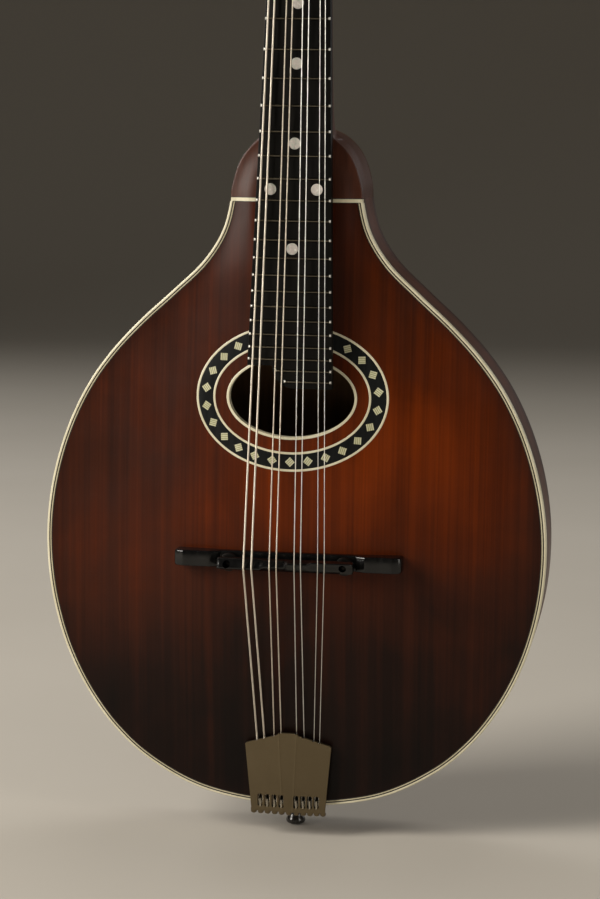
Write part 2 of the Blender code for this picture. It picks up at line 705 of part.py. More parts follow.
def gear_blank():
    """Worm wheel: trapezoid teeth, slanted to the worm's lead."""
    outline = []
    root, tip = GEAR_R - 0.65, GEAR_R + 0.42
    for k in range(TEETH):
        a = 2 * math.pi * k / TEETH
        outline += [(root, a - math.pi / TEETH), (tip, a - 0.3 / tip), (tip, a + 0.3 / tip)]
    twist = math.atan(WORM_PITCH / (2 * math.pi * WORM_R))
    bm_ = bmesh.new()
    levels = []
    for s in (-GEAR_T / 2, GEAR_T / 2):
        da = s * math.tan(twist) / GEAR_R * TWIST_SIGN
        # angle 0 is along +u, towards the worm
        levels.append([bm_.verts.new((-r * math.sin(a + da) * MM, r * math.cos(a + da) * MM,
                                      (WORM_N + s) * MM)) for r, a in outline])
    a, b = levels
    bm_.faces.new(a[::-1])
    bm_.faces.new(b)
    k = len(outline)
    for i in range(k):
        bm_.faces.new((a[i], a[(i + 1) % k], b[(i + 1) % k], b[i]))
    return finish_bm(bm_, "gear_blank")


TWIST_SIGN = 1.0
GEAR_MESH = gear_blank()
POST_MESH = turned("post_shaft", [(2.9, WORM_N - 2.4), (2.9, 4.4), (2.4, 5.0), (2.4, 8.2),
                                  (2.9, 8.8), (2.9, 11.3)], 8, Matrix.Identity(4))


def worm_mesh(sx):
    """Worm shaft along local X from the inner ear to inside the button."""
    x_in, x_out = 13.1, 45.0
    prof = [(1.5, x_in), (1.5, x_out)]
    # local frame: Z of the turned profile is the shaft's direction sx * X
    fr = Matrix(((0, 0, sx, 0), (0, 1, 0, 0), (-sx, 0, 0, 0), (0, 0, 0, 1)))
    return turned("worm_shaft", [(r, s - POST_X) for r, s in prof], 8, fr)


def thread_mesh():
    """Right-hand trapezoid thread, its crests half a pitch from x = 0 on -u."""
    seg, turns = 8, 2.0
    steps = int(seg * turns)
    bm_ = bmesh.new()
    prev_ = None
    for i in range(steps + 1):
        psi = 2 * math.pi * (i / seg - turns / 2 - 0.5)
        x = WORM_PITCH * (psi / (2 * math.pi) + 0.5)
        end = min(i, steps - i)
        crest = 2.66 if end > 1 else (2.2 if end == 1 else 1.75)
        prof = [(-0.42, 1.2), (-0.2, crest), (0.2, crest), (0.42, 1.2)]
        # psi = 0 points to -u; a positive turn about +X takes -u to -n
        cur_ = [bm_.verts.new(((x + dx) * MM, -r * math.cos(psi) * MM,
                               -r * math.sin(psi) * MM)) for dx, r in prof]
        if prev_ is None:
            bm_.faces.new(cur_)
        else:
            for k in range(4):
                bm_.faces.new((prev_[k], prev_[(k + 1) % 4], cur_[(k + 1) % 4], cur_[k]))
        prev_ = cur_
    bm_.faces.new(prev_[::-1])
    return finish_bm(bm_, "worm_thread")


THREAD = thread_mesh()
WORMS = {1: worm_mesh(1), -1: worm_mesh(-1)}


def button_mesh(sx):
    """Oval button, long across the shaft, with a short neck on the shaft."""
    bm_ = bmesh.new()
    seg = 10
    stations = [(0.0, 2.6, 2.6), (1.2, 2.9, 2.7), (2.6, 5.6, 3.4), (5.2, 7.4, 4.0),
                (8.4, 7.2, 3.9), (10.8, 4.8, 2.8), (11.8, 1.6, 1.2)]
    prev_ = None
    for s, a, b in stations:
        cur_ = [bm_.verts.new((sx * (35.6 - POST_X + s) * MM,
                               a * math.cos(2 * math.pi * k / seg) * MM,
                               b * math.sin(2 * math.pi * k / seg) * MM)) for k in range(seg)]
        if prev_ is None:
            bm_.faces.new(cur_)
        else:
            for k in range(seg):
                bm_.faces.new((prev_[k], prev_[(k + 1) % seg], cur_[(k + 1) % seg], cur_[k]))
        prev_ = cur_
    bm_.faces.new(prev_[::-1])
    return finish_bm(bm_, "button", 50)


BUTTONS = {1: button_mesh(1), -1: button_mesh(-1)}


def bore_mesh(sx):
    fr = Matrix(((0, 0, sx, 0), (0, 1, 0, 0), (-sx, 0, 0, 0), (0, 0, 0, 1)))
    return turned("bore", [(1.85, 30.0 - POST_X), (1.85, 45.3 - POST_X)], 8, fr)


BORES = {1: bore_mesh(1), -1: bore_mesh(-1)}

# string i runs to post i: 1-4 on the bass side, 8-5 on the treble side
POSTS = [(-1, POST_U[0]), (-1, POST_U[1]), (-1, POST_U[2]), (-1, POST_U[3]),
         (1, POST_U[3]), (1, POST_U[2]), (1, POST_U[1]), (1, POST_U[0])]


def union_copy(name, a, b, matrix, colour, rough, metal, how="UNION"):
    ob = add(name, a.copy(), colour, rough, metal, matrix)
    cut = add(name + "_add", b, None, matrix=matrix, cutter=True)
    boolean(ob, cut, how)
    return ob


for i, (sx, u) in enumerate(POSTS, 1):
    mp = HEAD @ Matrix.Translation((sx * POST_X * MM, u * MM, 0))
    union_copy("tuner_post_%d" % i, POST_MESH, GEAR_MESH, mp, NICKEL, 0.3, 1.0)
    mw = HEAD @ Matrix.Translation((sx * POST_X * MM, (u + CENTRES) * MM, WORM_N * MM))
    worm = union_copy("tuner_worm_%d" % i, WORMS[sx], THREAD, mw, NICKEL, 0.3, 1.0)
    union_copy("tuner_button_%d" % i, BUTTONS[sx], BORES[sx], mw, IVORY, 0.3, 0.0,
               "DIFFERENCE")

for nm, sx in (("tuner_plate_bass", -1), ("tuner_plate_treble", 1)):
    mp = HEAD.copy()
    xs = sorted((sx * 12.4, sx * 25.6))
    plate = add(nm, box_mesh(nm, xs[0], xs[1], 33.0, 127.0, PLATE_N0 - PLATE_T, PLATE_N0),
                NICKEL, 0.3, 1.0, mp)
    ears = bmesh.new()
    bores = bmesh.new()
    for u in POST_U:
        for x0, x1 in ((14.0, 15.2), (22.8, 24.0)):
            geo = bmesh.ops.create_cube(ears, size=1.0)
            for v in geo["verts"]:
                v.co = Vector((sx * (x0 + x1) / 2 + v.co.x * 1.2,
                               u + CENTRES + v.co.y * 5.6,
                               (PLATE_N0 - 0.5 + WORM_N - 2.8) / 2
                               + v.co.z * (PLATE_N0 - 0.5 - WORM_N + 2.8))) * MM
        geo = bmesh.ops.create_cone(bores, cap_ends=True, segments=8, radius1=1.85 * MM,
                                    radius2=1.85 * MM, depth=20 * MM)
        bmesh.ops.transform(bores, matrix=Matrix.Translation(
            (sx * POST_X * MM, (u + CENTRES) * MM, WORM_N * MM))
            @ Matrix.Rotation(math.pi / 2, 4, "Y"), verts=geo["verts"])
        geo = bmesh.ops.create_cone(bores, cap_ends=True, segments=9, radius1=3.5 * MM,
                                    radius2=3.5 * MM, depth=4 * MM)
        bmesh.ops.transform(bores, matrix=Matrix.Translation(
            (sx * POST_X * MM, u * MM, (PLATE_N0 - PLATE_T / 2) * MM)), verts=geo["verts"])
    ear_ob = add(nm + "_ears", finish_bm(ears, nm + "_ears"), None, matrix=mp, cutter=True)
    boolean(plate, ear_ob, "UNION")
    bore_ob = add(nm + "_bores", finish_bm(bores, nm + "_bores"), None, matrix=mp, cutter=True)
    boolean(plate, bore_ob)

# ---------------------------------------------------------------- bridge
STUD_X = 28.9
BASE_TOP = 14.3
SADDLE_Z = -178.7
bxs = [-57, -52.4, -46, -39, -34.6, -34.2, -24, -12, 0, 12, 24, 34.2, 34.6, 39, 46, 52.4, 57]


def base_top(x, z):
    a = abs(x)
    if a <= 34.3:
        return BASE_TOP
    # a wing: a short ramp up, a level top and a short ramp down to its tip
    return min(BASE_TOP + 1.3 + 2.1 * (a - 34.6) / 4.4, BASE_TOP + 3.4,
               BASE_TOP + 1.4 + 2.0 * (57.0 - a) / 4.6)


bridge_base = add("bridge_base", grid_solid(
    "bridge_base", [[(x, z) for x in bxs] for z in (-173.6, -181.6)], base_top,
    lambda x, z: top_h(x, BRIDGE_Z) + 0.35, 40), EBONY, 0.35)
studs = bmesh.new()
for sx in (-1, 1):
    geo = bmesh.ops.create_cone(studs, cap_ends=True, segments=10, radius1=1.5 * MM,
                                radius2=1.5 * MM, depth=8.4 * MM)
    bmesh.ops.transform(studs, matrix=at_body(sx * STUD_X, BASE_TOP - 1.2 + 4.2, SADDLE_Z),
                        verts=geo["verts"])
stud_ob = add("studs", finish_bm(studs, "studs"), None, cutter=True)
boolean(bridge_base, stud_ob, "UNION")

SADDLE_BOT, SADDLE_TOP = 18.3, 25.5
SADDLE = at_body(0, SADDLE_BOT, SADDLE_Z)


def ridge(x):
    """Where the ridge lies across the saddle: further from the nut in the bass."""
    return float(np.interp(x, [-18.0, -5.3, 6.9, 18.6], [-1.4, -0.3, 1.0, 2.0]))


sx_list = [-34.0, -31.0, -24.0, -16.0, -8.0, 0.0, 8.0, 16.0, 24.0, 31.0, 34.0]
bm = bmesh.new()
prev = None
for x in sx_list:
    lift = 2.6 * ease((20.0 - abs(x)) / 12.0)
    end = 1.6 if abs(x) > 33 else 0.0
    top = SADDLE_TOP - SADDLE_BOT - 0.012 * (x / 10) ** 2 - end
    cur = [bm.verts.new((x * MM, y * MM, s * MM)) for y, s in
           ((-3.1, lift), (3.1, lift), (3.1, 3.4), (ridge(x) + 0.6, top),
            (ridge(x) - 0.6, top), (-3.1, 3.4))]
    if prev is None:
        bm.faces.new(cur)
    else:
        for i in range(6):
            bm.faces.new((prev[i], prev[(i + 1) % 6], cur[(i + 1) % 6], cur[i]))
    prev = cur
bm.faces.new(prev[::-1])
saddle = add("bridge_saddle", finish_bm(bm, "bridge_saddle", 30), EBONY, 0.35, 0.0, SADDLE)
socket = bmesh.new()
for sx in (-1, 1):
    geo = bmesh.ops.create_cone(socket, cap_ends=True, segments=10, radius1=1.85 * MM,
                                radius2=1.85 * MM, depth=10.4 * MM)
    bmesh.ops.transform(socket, matrix=Matrix.Translation((sx * STUD_X * MM, 0, 0.0)),
                        verts=geo["verts"])
socket_ob = add("stud_sockets", finish_bm(socket, "stud_sockets"), None, matrix=SADDLE,
                cutter=True)
boolean(saddle, socket_ob)

for nm, sx in (("thumbwheel_bass", -1), ("thumbwheel_treble", 1)):
    mw = at_body(sx * STUD_X, 16.3, SADDLE_Z)
    wheel = add(nm, turned(nm, [(4.2, 0), (4.7, 0.3), (4.7, 1.4), (4.2, 1.7)], 18,
                           Matrix.Identity(4)), (0.05, 0.05, 0.05), 0.35, 1.0, mw)
    wc = add(nm + "_bore", turned(nm + "_bore", [(1.8, -2), (1.8, 4)], 10,
                                  Matrix.Identity(4)), None, matrix=mw, cutter=True)
    boolean(wheel, wc)

# ---------------------------------------------------------------- tailpiece, pin
TAIL_T = 1.8
TAIL_END = -308.4


def tail_row(t):
    zx = -273.0 + (TAIL_END + 273.0) * t
    zf = -267.5 + (TAIL_END + 267.5) * t
    return [(-22.0 + 3.2 * t, zx), (-4.6 + 2.0 * t, zf), (4.6 - 2.0 * t, zf), (22.0 - 3.2 * t, zx)]


def tail_top(x, z):
    t = (z + 267.5) / (TAIL_END + 267.5)
    side = ease((abs(x) - 5.0) / 14.0)
    return 7.6 - 2.6 * t - 1.0 * side


tailpiece = add("tailpiece", grid_solid("tailpiece", [tail_row(t) for t in (0, 0.5, 1.0)],
                                        tail_top, lambda x, z: tail_top(x, z) - TAIL_T, 20),
                NICKEL, 0.4, 1.0)
BRACKET = [(-18.2, 4.2), (18.2, 4.2), (18.2, -1.0), (11.0, -9.0), (9.5, -30.0), (6.0, -34.0),
           (-6.0, -34.0), (-9.5, -30.0), (-11.0, -9.0), (-18.2, -1.0)]
bracket = add("tail_bracket", prism("tail_bracket", BRACKET, lambda x, h: P(x, h, TAIL_END + 0.02),
                                    lambda x, h: P(x, h, -306.4)), None, cutter=True)
boolean(tailpiece, bracket, "UNION")
slots = bmesh.new()
for x in HOOK_X:
    geo = bmesh.ops.create_cube(slots, size=1.0)
    for v in geo["verts"]:
        v.co = P(x + v.co.x * 2.0, 5.0 + v.co.y * 8.0, -303.1 + v.co.z * 6.2)
slot_ob = add("string_slots", finish_bm(slots, "string_slots"), None, cutter=True)
boolean(tailpiece, slot_ob)
boolean(tailpiece, pin_hole)

end_pin = add("end_pin", turned("end_pin", [(3.9, 0), (5.0, 1.2), (4.8, 3.0), (3.4, 6.6),
                                            (4.4, 10.2), (5.0, 12.2), (3.45, 12.3),
                                            (3.3, 34.0)], 16, PIN_FRAME), EBONY, 0.3)

# ---------------------------------------------------------------- strings
for i in range(8):
    r = STRING_R[i]
    sx, u = POSTS[i]
    pts = []
    # hook, under the plate, over the bridge, over the nut
    pts.append(P(HOOK_X[i], 1.75, -304.2))
    pts.append(P(HOOK_X[i], 2.0, -300.0))
    pts.append(P(EDGE_X[i], 3.95, -269.0))
    hb = BRIDGE_H
    zb = SADDLE_Z + ridge(BRIDGE_X[i])
    kb = (hb - 3.95) / (269.0 + zb)
    pts.append(P(BRIDGE_X[i], hb - 2.2 * kb, zb - 2.2))
    pts.append(P(BRIDGE_X[i], hb, zb))
    hn = NUT_TOP_BASS + 0.32 + r
    kn = (hb - hn) / (SCALE / 2 - zb)
    pts.append(P(BRIDGE_X[i] + (NUT_X[i] - BRIDGE_X[i]) * 0.01, hb - kn * 3.5, zb + 3.5))
    pts.append(P(NUT_X[i], hn, SCALE / 2 + 0.5))
    pts.append(P(NUT_X[i] * 1.003, hn - 0.3, SCALE / 2 + 2.6))
    # wound on the post: the string comes in on the side of the centre line
    rc = 2.4 + 0.35 + r
    px = sx * POST_X
    n0, pitch = 5.55, 2 * r + 0.25
    turns, per = 1.25, 8
    steps = int(turns * per)
    lead = math.atan2((abs(px) - rc) - abs(NUT_X[i]), u + 4.0)
    start = math.pi - lead * 1.0          # angle from +X outward for sx = -1, mirrored
    for k in range(steps + 1):
        a = k / per * 2 * math.pi
        # inner side of the post first, then round the top of the post
        lx = px - sx * rc * math.cos(a)
        lu = u + rc * math.sin(a)
        pts.append(HEAD @ Vector((lx * MM, lu * MM, (n0 + pitch * a / (2 * math.pi)) * MM)))
    cu = bpy.data.curves.new("string_%d" % (i + 1), "CURVE")
    cu.dimensions = "3D"
    cu.bevel_depth = r * MM
    cu.bevel_resolution = 1
    cu.use_fill_caps = True
    sp = cu.splines.new("POLY")
    sp.points.add(len(pts) - 1)
    for q, v in zip(sp.points, pts):
        q.co = (*v, 1.0)
    ob = bpy.data.objects.new("string_%d" % (i + 1), cu)
    PARTS.objects.link(ob)
    cu.materials.append(material("string_%d" % (i + 1), BRONZE if i < 4 else STEEL, 0.3, 1.0))

# moving pieces hang on what carries them
bpy.context.view_layer.update()
for i in range(1, 9):
    b, w = bpy.data.objects["tuner_button_%d" % i], bpy.data.objects["tuner_worm_%d" % i]
    keep = b.matrix_world.copy()
    b.parent = w
    b.matrix_parent_inverse = w.matrix_world.inverted()
    b.matrix_world = keep
for nm in ("thumbwheel_bass", "thumbwheel_treble"):
    t = bpy.data.objects[nm]
    keep = t.matrix_world.copy()
    t.parent = bpy.data.objects["bridge_saddle"]
    t.matrix_parent_inverse = bpy.data.objects["bridge_saddle"].matrix_world.inverted()
    t.matrix_world = keep
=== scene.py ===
# The looks of an A-style mandolin with an oval sound hole.
#
# The drawing is made in millimetres with (x, h, z): x to the right of someone
# who looks at the front, h the height over the plane of the top binding and z
# the height over the twelfth fret.  The headstock is drawn with (x, u, n): u up
# the headstock from the nut and n out of its front.
import bpy
import bmesh
import math
import numpy as np
from mathutils import Vector, Matrix


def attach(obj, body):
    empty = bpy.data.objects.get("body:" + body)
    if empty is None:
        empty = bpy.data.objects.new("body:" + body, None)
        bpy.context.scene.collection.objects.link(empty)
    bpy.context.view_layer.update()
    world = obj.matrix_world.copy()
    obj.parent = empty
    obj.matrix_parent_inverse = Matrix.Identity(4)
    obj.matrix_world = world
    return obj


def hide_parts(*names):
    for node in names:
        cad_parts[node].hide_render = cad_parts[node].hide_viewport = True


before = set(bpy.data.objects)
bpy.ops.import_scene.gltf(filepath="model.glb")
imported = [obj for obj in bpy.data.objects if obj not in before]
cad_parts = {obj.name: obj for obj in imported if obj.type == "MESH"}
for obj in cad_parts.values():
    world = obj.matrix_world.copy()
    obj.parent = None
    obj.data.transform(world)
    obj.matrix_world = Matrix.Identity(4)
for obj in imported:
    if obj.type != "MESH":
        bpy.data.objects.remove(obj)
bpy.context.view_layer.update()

MM = 0.001
SCALE, Z12, RIM, PIN_H = 352.4, 321.0, 42.0, -21.0
PITCH = math.radians(4.44)
TP = math.tan(PITCH)
FRET_TOP, FRET_H, BOARD_T, GAP = 10.3, 1.0, 5.5, 0.3
TOP_T, BACK_T, SIDE_T = 4.0, 3.5, 2.3
TOP_ARCH, BACK_ARCH = 10.6, 12.0
HOLE_Z = -96.9
HALF = [(32.4, 6.0), (33.0, 0.0), (36.8, -15.0), (46.0, -30.0), (61.4, -45.0),
        (77.8, -60.0), (92.0, -75.0), (103.2, -90.0), (111.5, -105.0),
        (117.7, -120.0), (122.2, -135.0), (125.2, -150.0), (126.7, -165.0),
        (126.7, -180.0), (125.3, -195.0), (122.4, -210.0), (118.0, -225.0),
        (111.7, -240.0), (103.1, -255.0), (91.5, -270.0), (74.5, -285.0),
        (44.8, -300.0), (0.0, -306.0)]
SHOULDER = [(33.0, 0.0), (32.6, 5.0), (31.2, 11.0), (29.2, 17.0), (26.4, 22.0),
            (22.6, 26.4), (17.8, 30.0), (12.0, 32.4), (6.0, 33.7), (0.0, 34.2)]
NUT_HALF, END_HALF, FRETS = 13.8, 21.2, 24
STRING_R = [0.50, 0.50, 0.33, 0.33, 0.24, 0.24, 0.19, 0.19]
NUT_X = [-12.4, -9.8, -4.8, -1.9, 1.9, 4.9, 9.5, 11.8]
BRIDGE_X = [-20.0, -16.0, -7.1, -3.6, 5.3, 8.5, 17.0, 20.3]
EDGE_X = [-16.4, -12.6, -7.5, -3.9, 4.0, 7.8, 12.9, 15.8]
HOOK_X = [-14.3, -10.7, -7.0, -3.4, 4.2, 7.7, 11.1, 14.5]
BRIDGE_Z, BRIDGE_H = -178.5, 26.2
HEAD_TILT = math.radians(15.0) + PITCH
HEAD_T, OVERLAY_T = 12.0, 2.2
HEAD_Z = SCALE / 2 + 3.4
POST_U, POST_X = [42.0, 65.0, 88.0, 111.0], 19.0
HEAD_HALF = [(0.0, 13.9), (8.0, 14.4), (14.0, 17.0), (20.0, 22.5), (27.0, 28.5),
             (35.0, 32.0), (44.0, 33.0), (60.0, 32.2), (80.0, 30.6),
             (100.0, 28.9), (118.0, 27.4), (128.0, 26.2), (134.0, 24.0),
             (138.0, 20.5), (141.0, 14.0), (142.8, 7.0), (143.4, 1.2)]
TEETH, WORM_PITCH = 15, 2.0
GEAR_R = TEETH * WORM_PITCH / (2 * math.pi)
WORM_R, CENTRES = 2.25, 7.03
PLATE_N0, PLATE_T, GEAR_T = -HEAD_T - GAP, 1.2, 3.0
WORM_N = PLATE_N0 - PLATE_T - 0.3 - 2.7
SIDE_TOP = -TOP_T - GAP
SIDE_BOT = -RIM + BACK_T + GAP
PI = math.pi

# ---------------------------------------------------------------- curves
def spline(points, per=10):
    p = [np.array(q, float) for q in points]
    p = [2 * p[0] - p[1]] + p + [2 * p[-1] - p[-2]]
    out = []
    for i in range(1, len(p) - 2):
        p0, p1, p2, p3 = p[i - 1:i + 3]
        t0 = 0.0
        t1 = t0 + math.sqrt(max(1e-9, np.linalg.norm(p1 - p0)))
        t2 = t1 + math.sqrt(max(1e-9, np.linalg.norm(p2 - p1)))
        t3 = t2 + math.sqrt(max(1e-9, np.linalg.norm(p3 - p2)))
        for k in range(per):
            t = t1 + (t2 - t1) * k / per
            a1 = (t1 - t) / (t1 - t0) * p0 + (t - t0) / (t1 - t0) * p1
            a2 = (t2 - t) / (t2 - t1) * p1 + (t - t1) / (t2 - t1) * p2
            a3 = (t3 - t) / (t3 - t2) * p2 + (t - t2) / (t3 - t2) * p3
            b1 = (t2 - t) / (t2 - t0) * a1 + (t - t0) / (t2 - t0) * a2
            b2 = (t3 - t) / (t3 - t1) * a2 + (t - t1) / (t3 - t1) * a3
            out.append((t2 - t) / (t2 - t1) * b1 + (t - t1) / (t2 - t1) * b2)
    out.append(p[-2])
    return np.array(out)


BODY = spline(HALF + [(-44.8, -300.0)], 12)[:12 * (len(HALF) - 1) + 1]
SHOULD = spline([(36.8, -15.0)] + SHOULDER + [(-6.0, 33.7)], 8)[8:8 * len(SHOULDER) + 1]
EDGE = np.vstack([spline(SHOULDER, 6)[::-1][20:], BODY[13:]])


def resample(curve, n):
    s = np.r_[0, np.cumsum(np.linalg.norm(np.diff(curve, axis=0), axis=1))]
    u = np.linspace(0, s[-1], n)
    return np.stack([np.interp(u, s, curve[:, k]) for k in range(curve.shape[1])], axis=1)


def clip_z(curve, z_top):
    k = int(np.argmax(curve[:, 1] < z_top))
    a, b = curve[k - 1], curve[k]
    f = (a[1] - z_top) / (a[1] - b[1])
    return np.vstack([a + f * (b - a), curve[k:]])


def inner(d, n=150, z_top=0.8):
    """Half outline of the body moved in by d, with n matching stations."""
    dense = resample(clip_z(BODY, 0.8), 1200)
    tan = np.gradient(dense, axis=0)
    tan /= np.linalg.norm(tan, axis=1)[:, None]
    for _ in range(12):
        tan[1:-1] = (tan[:-2] + 2 * tan[1:-1] + tan[2:]) / 4
    tan /= np.linalg.norm(tan, axis=1)[:, None]
    k = np.round(np.linspace(0, 1199, n)).astype(int)
    c = dense[k] + d * np.stack([tan[k, 1], -tan[k, 0]], axis=1)
    c[0][1] = z_top
    c[-1] = (0.0, c[-1][1])
    return c


_order = np.argsort(BODY[:, 1])


def half_width(z):
    return np.interp(z, BODY[_order, 1], BODY[_order, 0])


def edge_distance(x, z):
    x, z = np.broadcast_arrays(np.abs(np.asarray(x, float)), np.asarray(z, float))
    best = np.full(x.shape, 1e9)
    for a, b in zip(EDGE[:-1], EDGE[1:]):
        ab = b - a
        t = np.clip(((x - a[0]) * ab[0] + (z - a[1]) * ab[1]) / max(ab @ ab, 1e-9), 0, 1)
        best = np.minimum(best, np.hypot(a[0] + t * ab[0] - x, a[1] + t * ab[1] - z))
    return best


def ease(t):
    t = np.clip(t, 0.0, 1.0)
    return t * t * (3 - 2 * t)


def board_under(z):
    return FRET_TOP - FRET_H - BOARD_T - z * TP


def board_top(z):
    return FRET_TOP - FRET_H - z * TP


def top_h(x, z):
    x, z = np.asarray(x, float), np.asarray(z, float)
    a, k = board_under(z) - 0.38, 1.6
    m = np.minimum(a, TOP_ARCH)
    crown = m - k * np.log(np.exp(-(a - m) / k) + np.exp(-(TOP_ARCH - m) / k)) * 0.35
    full = np.where(z < -172.0, 107.0, np.maximum(12.0, half_width(z) - 20.0))
    return crown * ease(edge_distance(x, z) / full)


def back_h(x, z):
    x, z = np.asarray(x, float), np.asarray(z, float)
    full = np.where(z < -172.0, 122.0, np.maximum(24.0, half_width(np.minimum(z, 0.0)) - 5.0))
    crown = BACK_ARCH * ease((20.0 - z) / 140.0)
    return -RIM - crown * ease(edge_distance(x, z) / full)


def heel_top(x, z):
    return (board_under(z) - 0.4) * ease(edge_distance(x, z) / 12.0)


def board_half(z):
    return NUT_HALF + (SCALE / 2 - z) * (END_HALF - NUT_HALF) / 264.3


# ---------------------------------------------------------------- frames
def P(x, h, z):
    x, h, z = np.broadcast_arrays(np.asarray(x, float), np.asarray(h, float),
                                  np.asarray(z, float))
    return np.stack([x * MM, -(h - PIN_H) * MM, (z + Z12) * MM], -1)


HEAD_H0 = board_under(HEAD_Z) - GAP
SN, CN = math.sin(HEAD_TILT), math.cos(HEAD_TILT)
HEAD = Matrix.Translation(Vector(P(0, HEAD_H0, HEAD_Z))) @ Matrix((
    (1, 0, 0, 0), (0, SN, -CN, 0), (0, CN, SN, 0), (0, 0, 0, 1)))


def apply(matrix, pts):
    """Millimetre points (…, 3) through a frame, in metres."""
    m = np.array(matrix)
    return pts * MM @ m[:3, :3].T + m[:3, 3]


def H(x, u, n):
    x, u, n = np.broadcast_arrays(np.asarray(x, float), np.asarray(u, float),
                                  np.asarray(n, float))
    return apply(HEAD, np.stack([x, u, n], -1))


def at_body(x, h, z):
    """Frame at a drawing point whose local axes are x, z and out of the top."""
    return Matrix.Translation(Vector(P(x, h, z))) @ Matrix((
        (1, 0, 0, 0), (0, 0, -1, 0), (0, 1, 0, 0), (0, 0, 0, 1)))


PIN_FRAME = Matrix.Translation(Vector(P(0, PIN_H, -Z12)))


# ---------------------------------------------------------------- mesh tools
class Shape:
    """Collects closed grids and lofts into one mesh."""

    def __init__(self):
        self.v, self.f, self.m, self.n = [], [], [], 0

    def grid(self, pts, cu=False, cv=False, mat=0, caps=False, cols=None):
        n, m = pts.shape[:2]
        i = np.arange(n if cu else n - 1)
        j = np.arange(m if cv else m - 1)
        a, b = np.meshgrid(i, j, indexing="ij")
        a2, b2 = (a + 1) % n, (b + 1) % m
        q = np.stack([a * m + b, a * m + b2, a2 * m + b2, a2 * m + b], -1).reshape(-1, 4)
        self.f += (q + self.n).tolist()
        if cols is not None:
            self.m += [cols[k % len(j)] for k in range(len(q))]
        else:
            self.m += [mat] * len(q)
        if caps:
            self.f.append(list(range(self.n, self.n + m))[::-1])
            self.f.append(list(range(self.n + (n - 1) * m, self.n + n * m)))
            self.m += [mat, mat]
        self.v.append(pts.reshape(-1, 3))
        self.n += n * m
        return self

    def mesh(self, name, angle=35.0, weld=2e-7):
        bm = bmesh.new()
        vs = [bm.verts.new(p) for p in np.vstack(self.v)]
        for f, mi in zip(self.f, self.m):
            k = list(dict.fromkeys(f))
            if len(k) > 2:
                face = bm.faces.new([vs[i] for i in k])
                face.material_index = mi
        bmesh.ops.remove_doubles(bm, verts=bm.verts[:], dist=weld)
        bmesh.ops.dissolve_degenerate(bm, edges=bm.edges[:], dist=1e-8)
        loose = [v for v in bm.verts if not v.link_faces]
        bmesh.ops.delete(bm, geom=loose, context="VERTS")
        bmesh.ops.recalc_face_normals(bm, faces=bm.faces[:])
        me = bpy.data.meshes.new(name)
        bm.to_mesh(me)
        bm.free()
        me.shade_smooth()
        me.set_sharp_from_angle(angle=math.radians(angle))
        return me


def dress(me, mats):
    """Fill a mesh's material list and keep each face's own slot."""
    mats = list(mats) if isinstance(mats, (list, tuple)) else [mats]
    for k, m in enumerate(mats):
        if k < len(me.materials):
            me.materials[k] = m
        else:
            me.materials.append(m)
    while len(me.materials) > len(mats):
        me.materials.pop(index=len(me.materials) - 1)


def piece(name, shape, mats, body="instrument", instead=(), slot=None, angle=35.0,
          link=True):
    me = shape.mesh(name, angle) if isinstance(shape, Shape) else shape
    ob = bpy.data.objects.new(name, me)
    bpy.context.scene.collection.objects.link(ob)
    dress(me, mats)
    if body:
        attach(ob, body)
    if instead:
        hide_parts(*instead)
    return ob


def cut(ob, shapes, angle=35.0, how="DIFFERENCE"):
    """Cut closed shapes out of an object with exact Booleans, one by one."""
    for k, s in enumerate(shapes):
        me = s.mesh("cutter") if isinstance(s, Shape) else s
        tool = bpy.data.objects.new("cutter", me)
        bpy.context.scene.collection.objects.link(tool)
        mod = ob.modifiers.new("cut", "BOOLEAN")
        mod.operation, mod.solver, mod.object = how, "EXACT", tool
        dg = bpy.context.evaluated_depsgraph_get()
        dg.update()
        new = bpy.data.meshes.new_from_object(ob.evaluated_get(dg))
        old = ob.data
        mats = [m for m in old.materials]
        ob.modifiers.remove(mod)
        ob.data = new
        new.name = ob.name
        dress(new, mats)
        bpy.data.objects.remove(tool, do_unlink=True)
    ob.data.shade_smooth()
    ob.data.set_sharp_from_angle(angle=math.radians(angle))
    return ob


def soften(ob, width, segments=2, angle=40.0):
    """Small rounded edges, applied to the mesh."""
    mod = ob.modifiers.new("edges", "BEVEL")
    mod.width, mod.segments, mod.limit_method = width * MM, segments, "ANGLE"
    mod.angle_limit = math.radians(angle)
    mod.harden_normals = False
    mod.use_clamp_overlap = True
    dg = bpy.context.evaluated_depsgraph_get()
    dg.update()
    new = bpy.data.meshes.new_from_object(ob.evaluated_get(dg))
    mats = [m for m in ob.data.materials]
    ob.modifiers.remove(mod)
    ob.data = new
    new.name = ob.name
    dress(new, mats)
    new.shade_smooth()
    new.set_sharp_from_angle(angle=math.radians(32))
    return ob


def ring_pts(profile, seg, phase=0.0):
    """Turned shape in mm: profile of (radius, height) along local Z."""
    a = 2 * PI * np.arange(seg) / seg + phase
    pr = np.array(profile, float)
    return np.stack([pr[:, :1] * np.cos(a), pr[:, :1] * np.sin(a),
                     np.repeat(pr[:, 1:], seg, 1)], -1)


def turned(profile, seg, matrix, shape=None, mat=0):
    shape = shape or Shape()
    return shape.grid(apply(matrix, ring_pts(profile, seg)), cv=True, mat=mat, caps=True)


def box(shape, lo, hi, matrix, mat=0):
    """Box between two corners in mm, as a grid with a few loops."""
    (x0, y0, z0), (x1, y1, z1) = lo, hi
    ring = [(x0, y0), (x1, y0), (x1, y1), (x0, y1)]
    pts = np.array([[(x, y, z) for x, y in ring] for z in (z0, z1)], float)
    return shape.grid(apply(matrix, pts), cv=True, mat=mat, caps=True)


def prism(outline, upper, lower, shape=None, mat=0):
    shape = shape or Shape()
    o = np.array(outline, float)
    return shape.grid(np.stack([lower(o[:, 0], o[:, 1]), upper(o[:, 0], o[:, 1])]), cv=True,
                      mat=mat, caps=True)


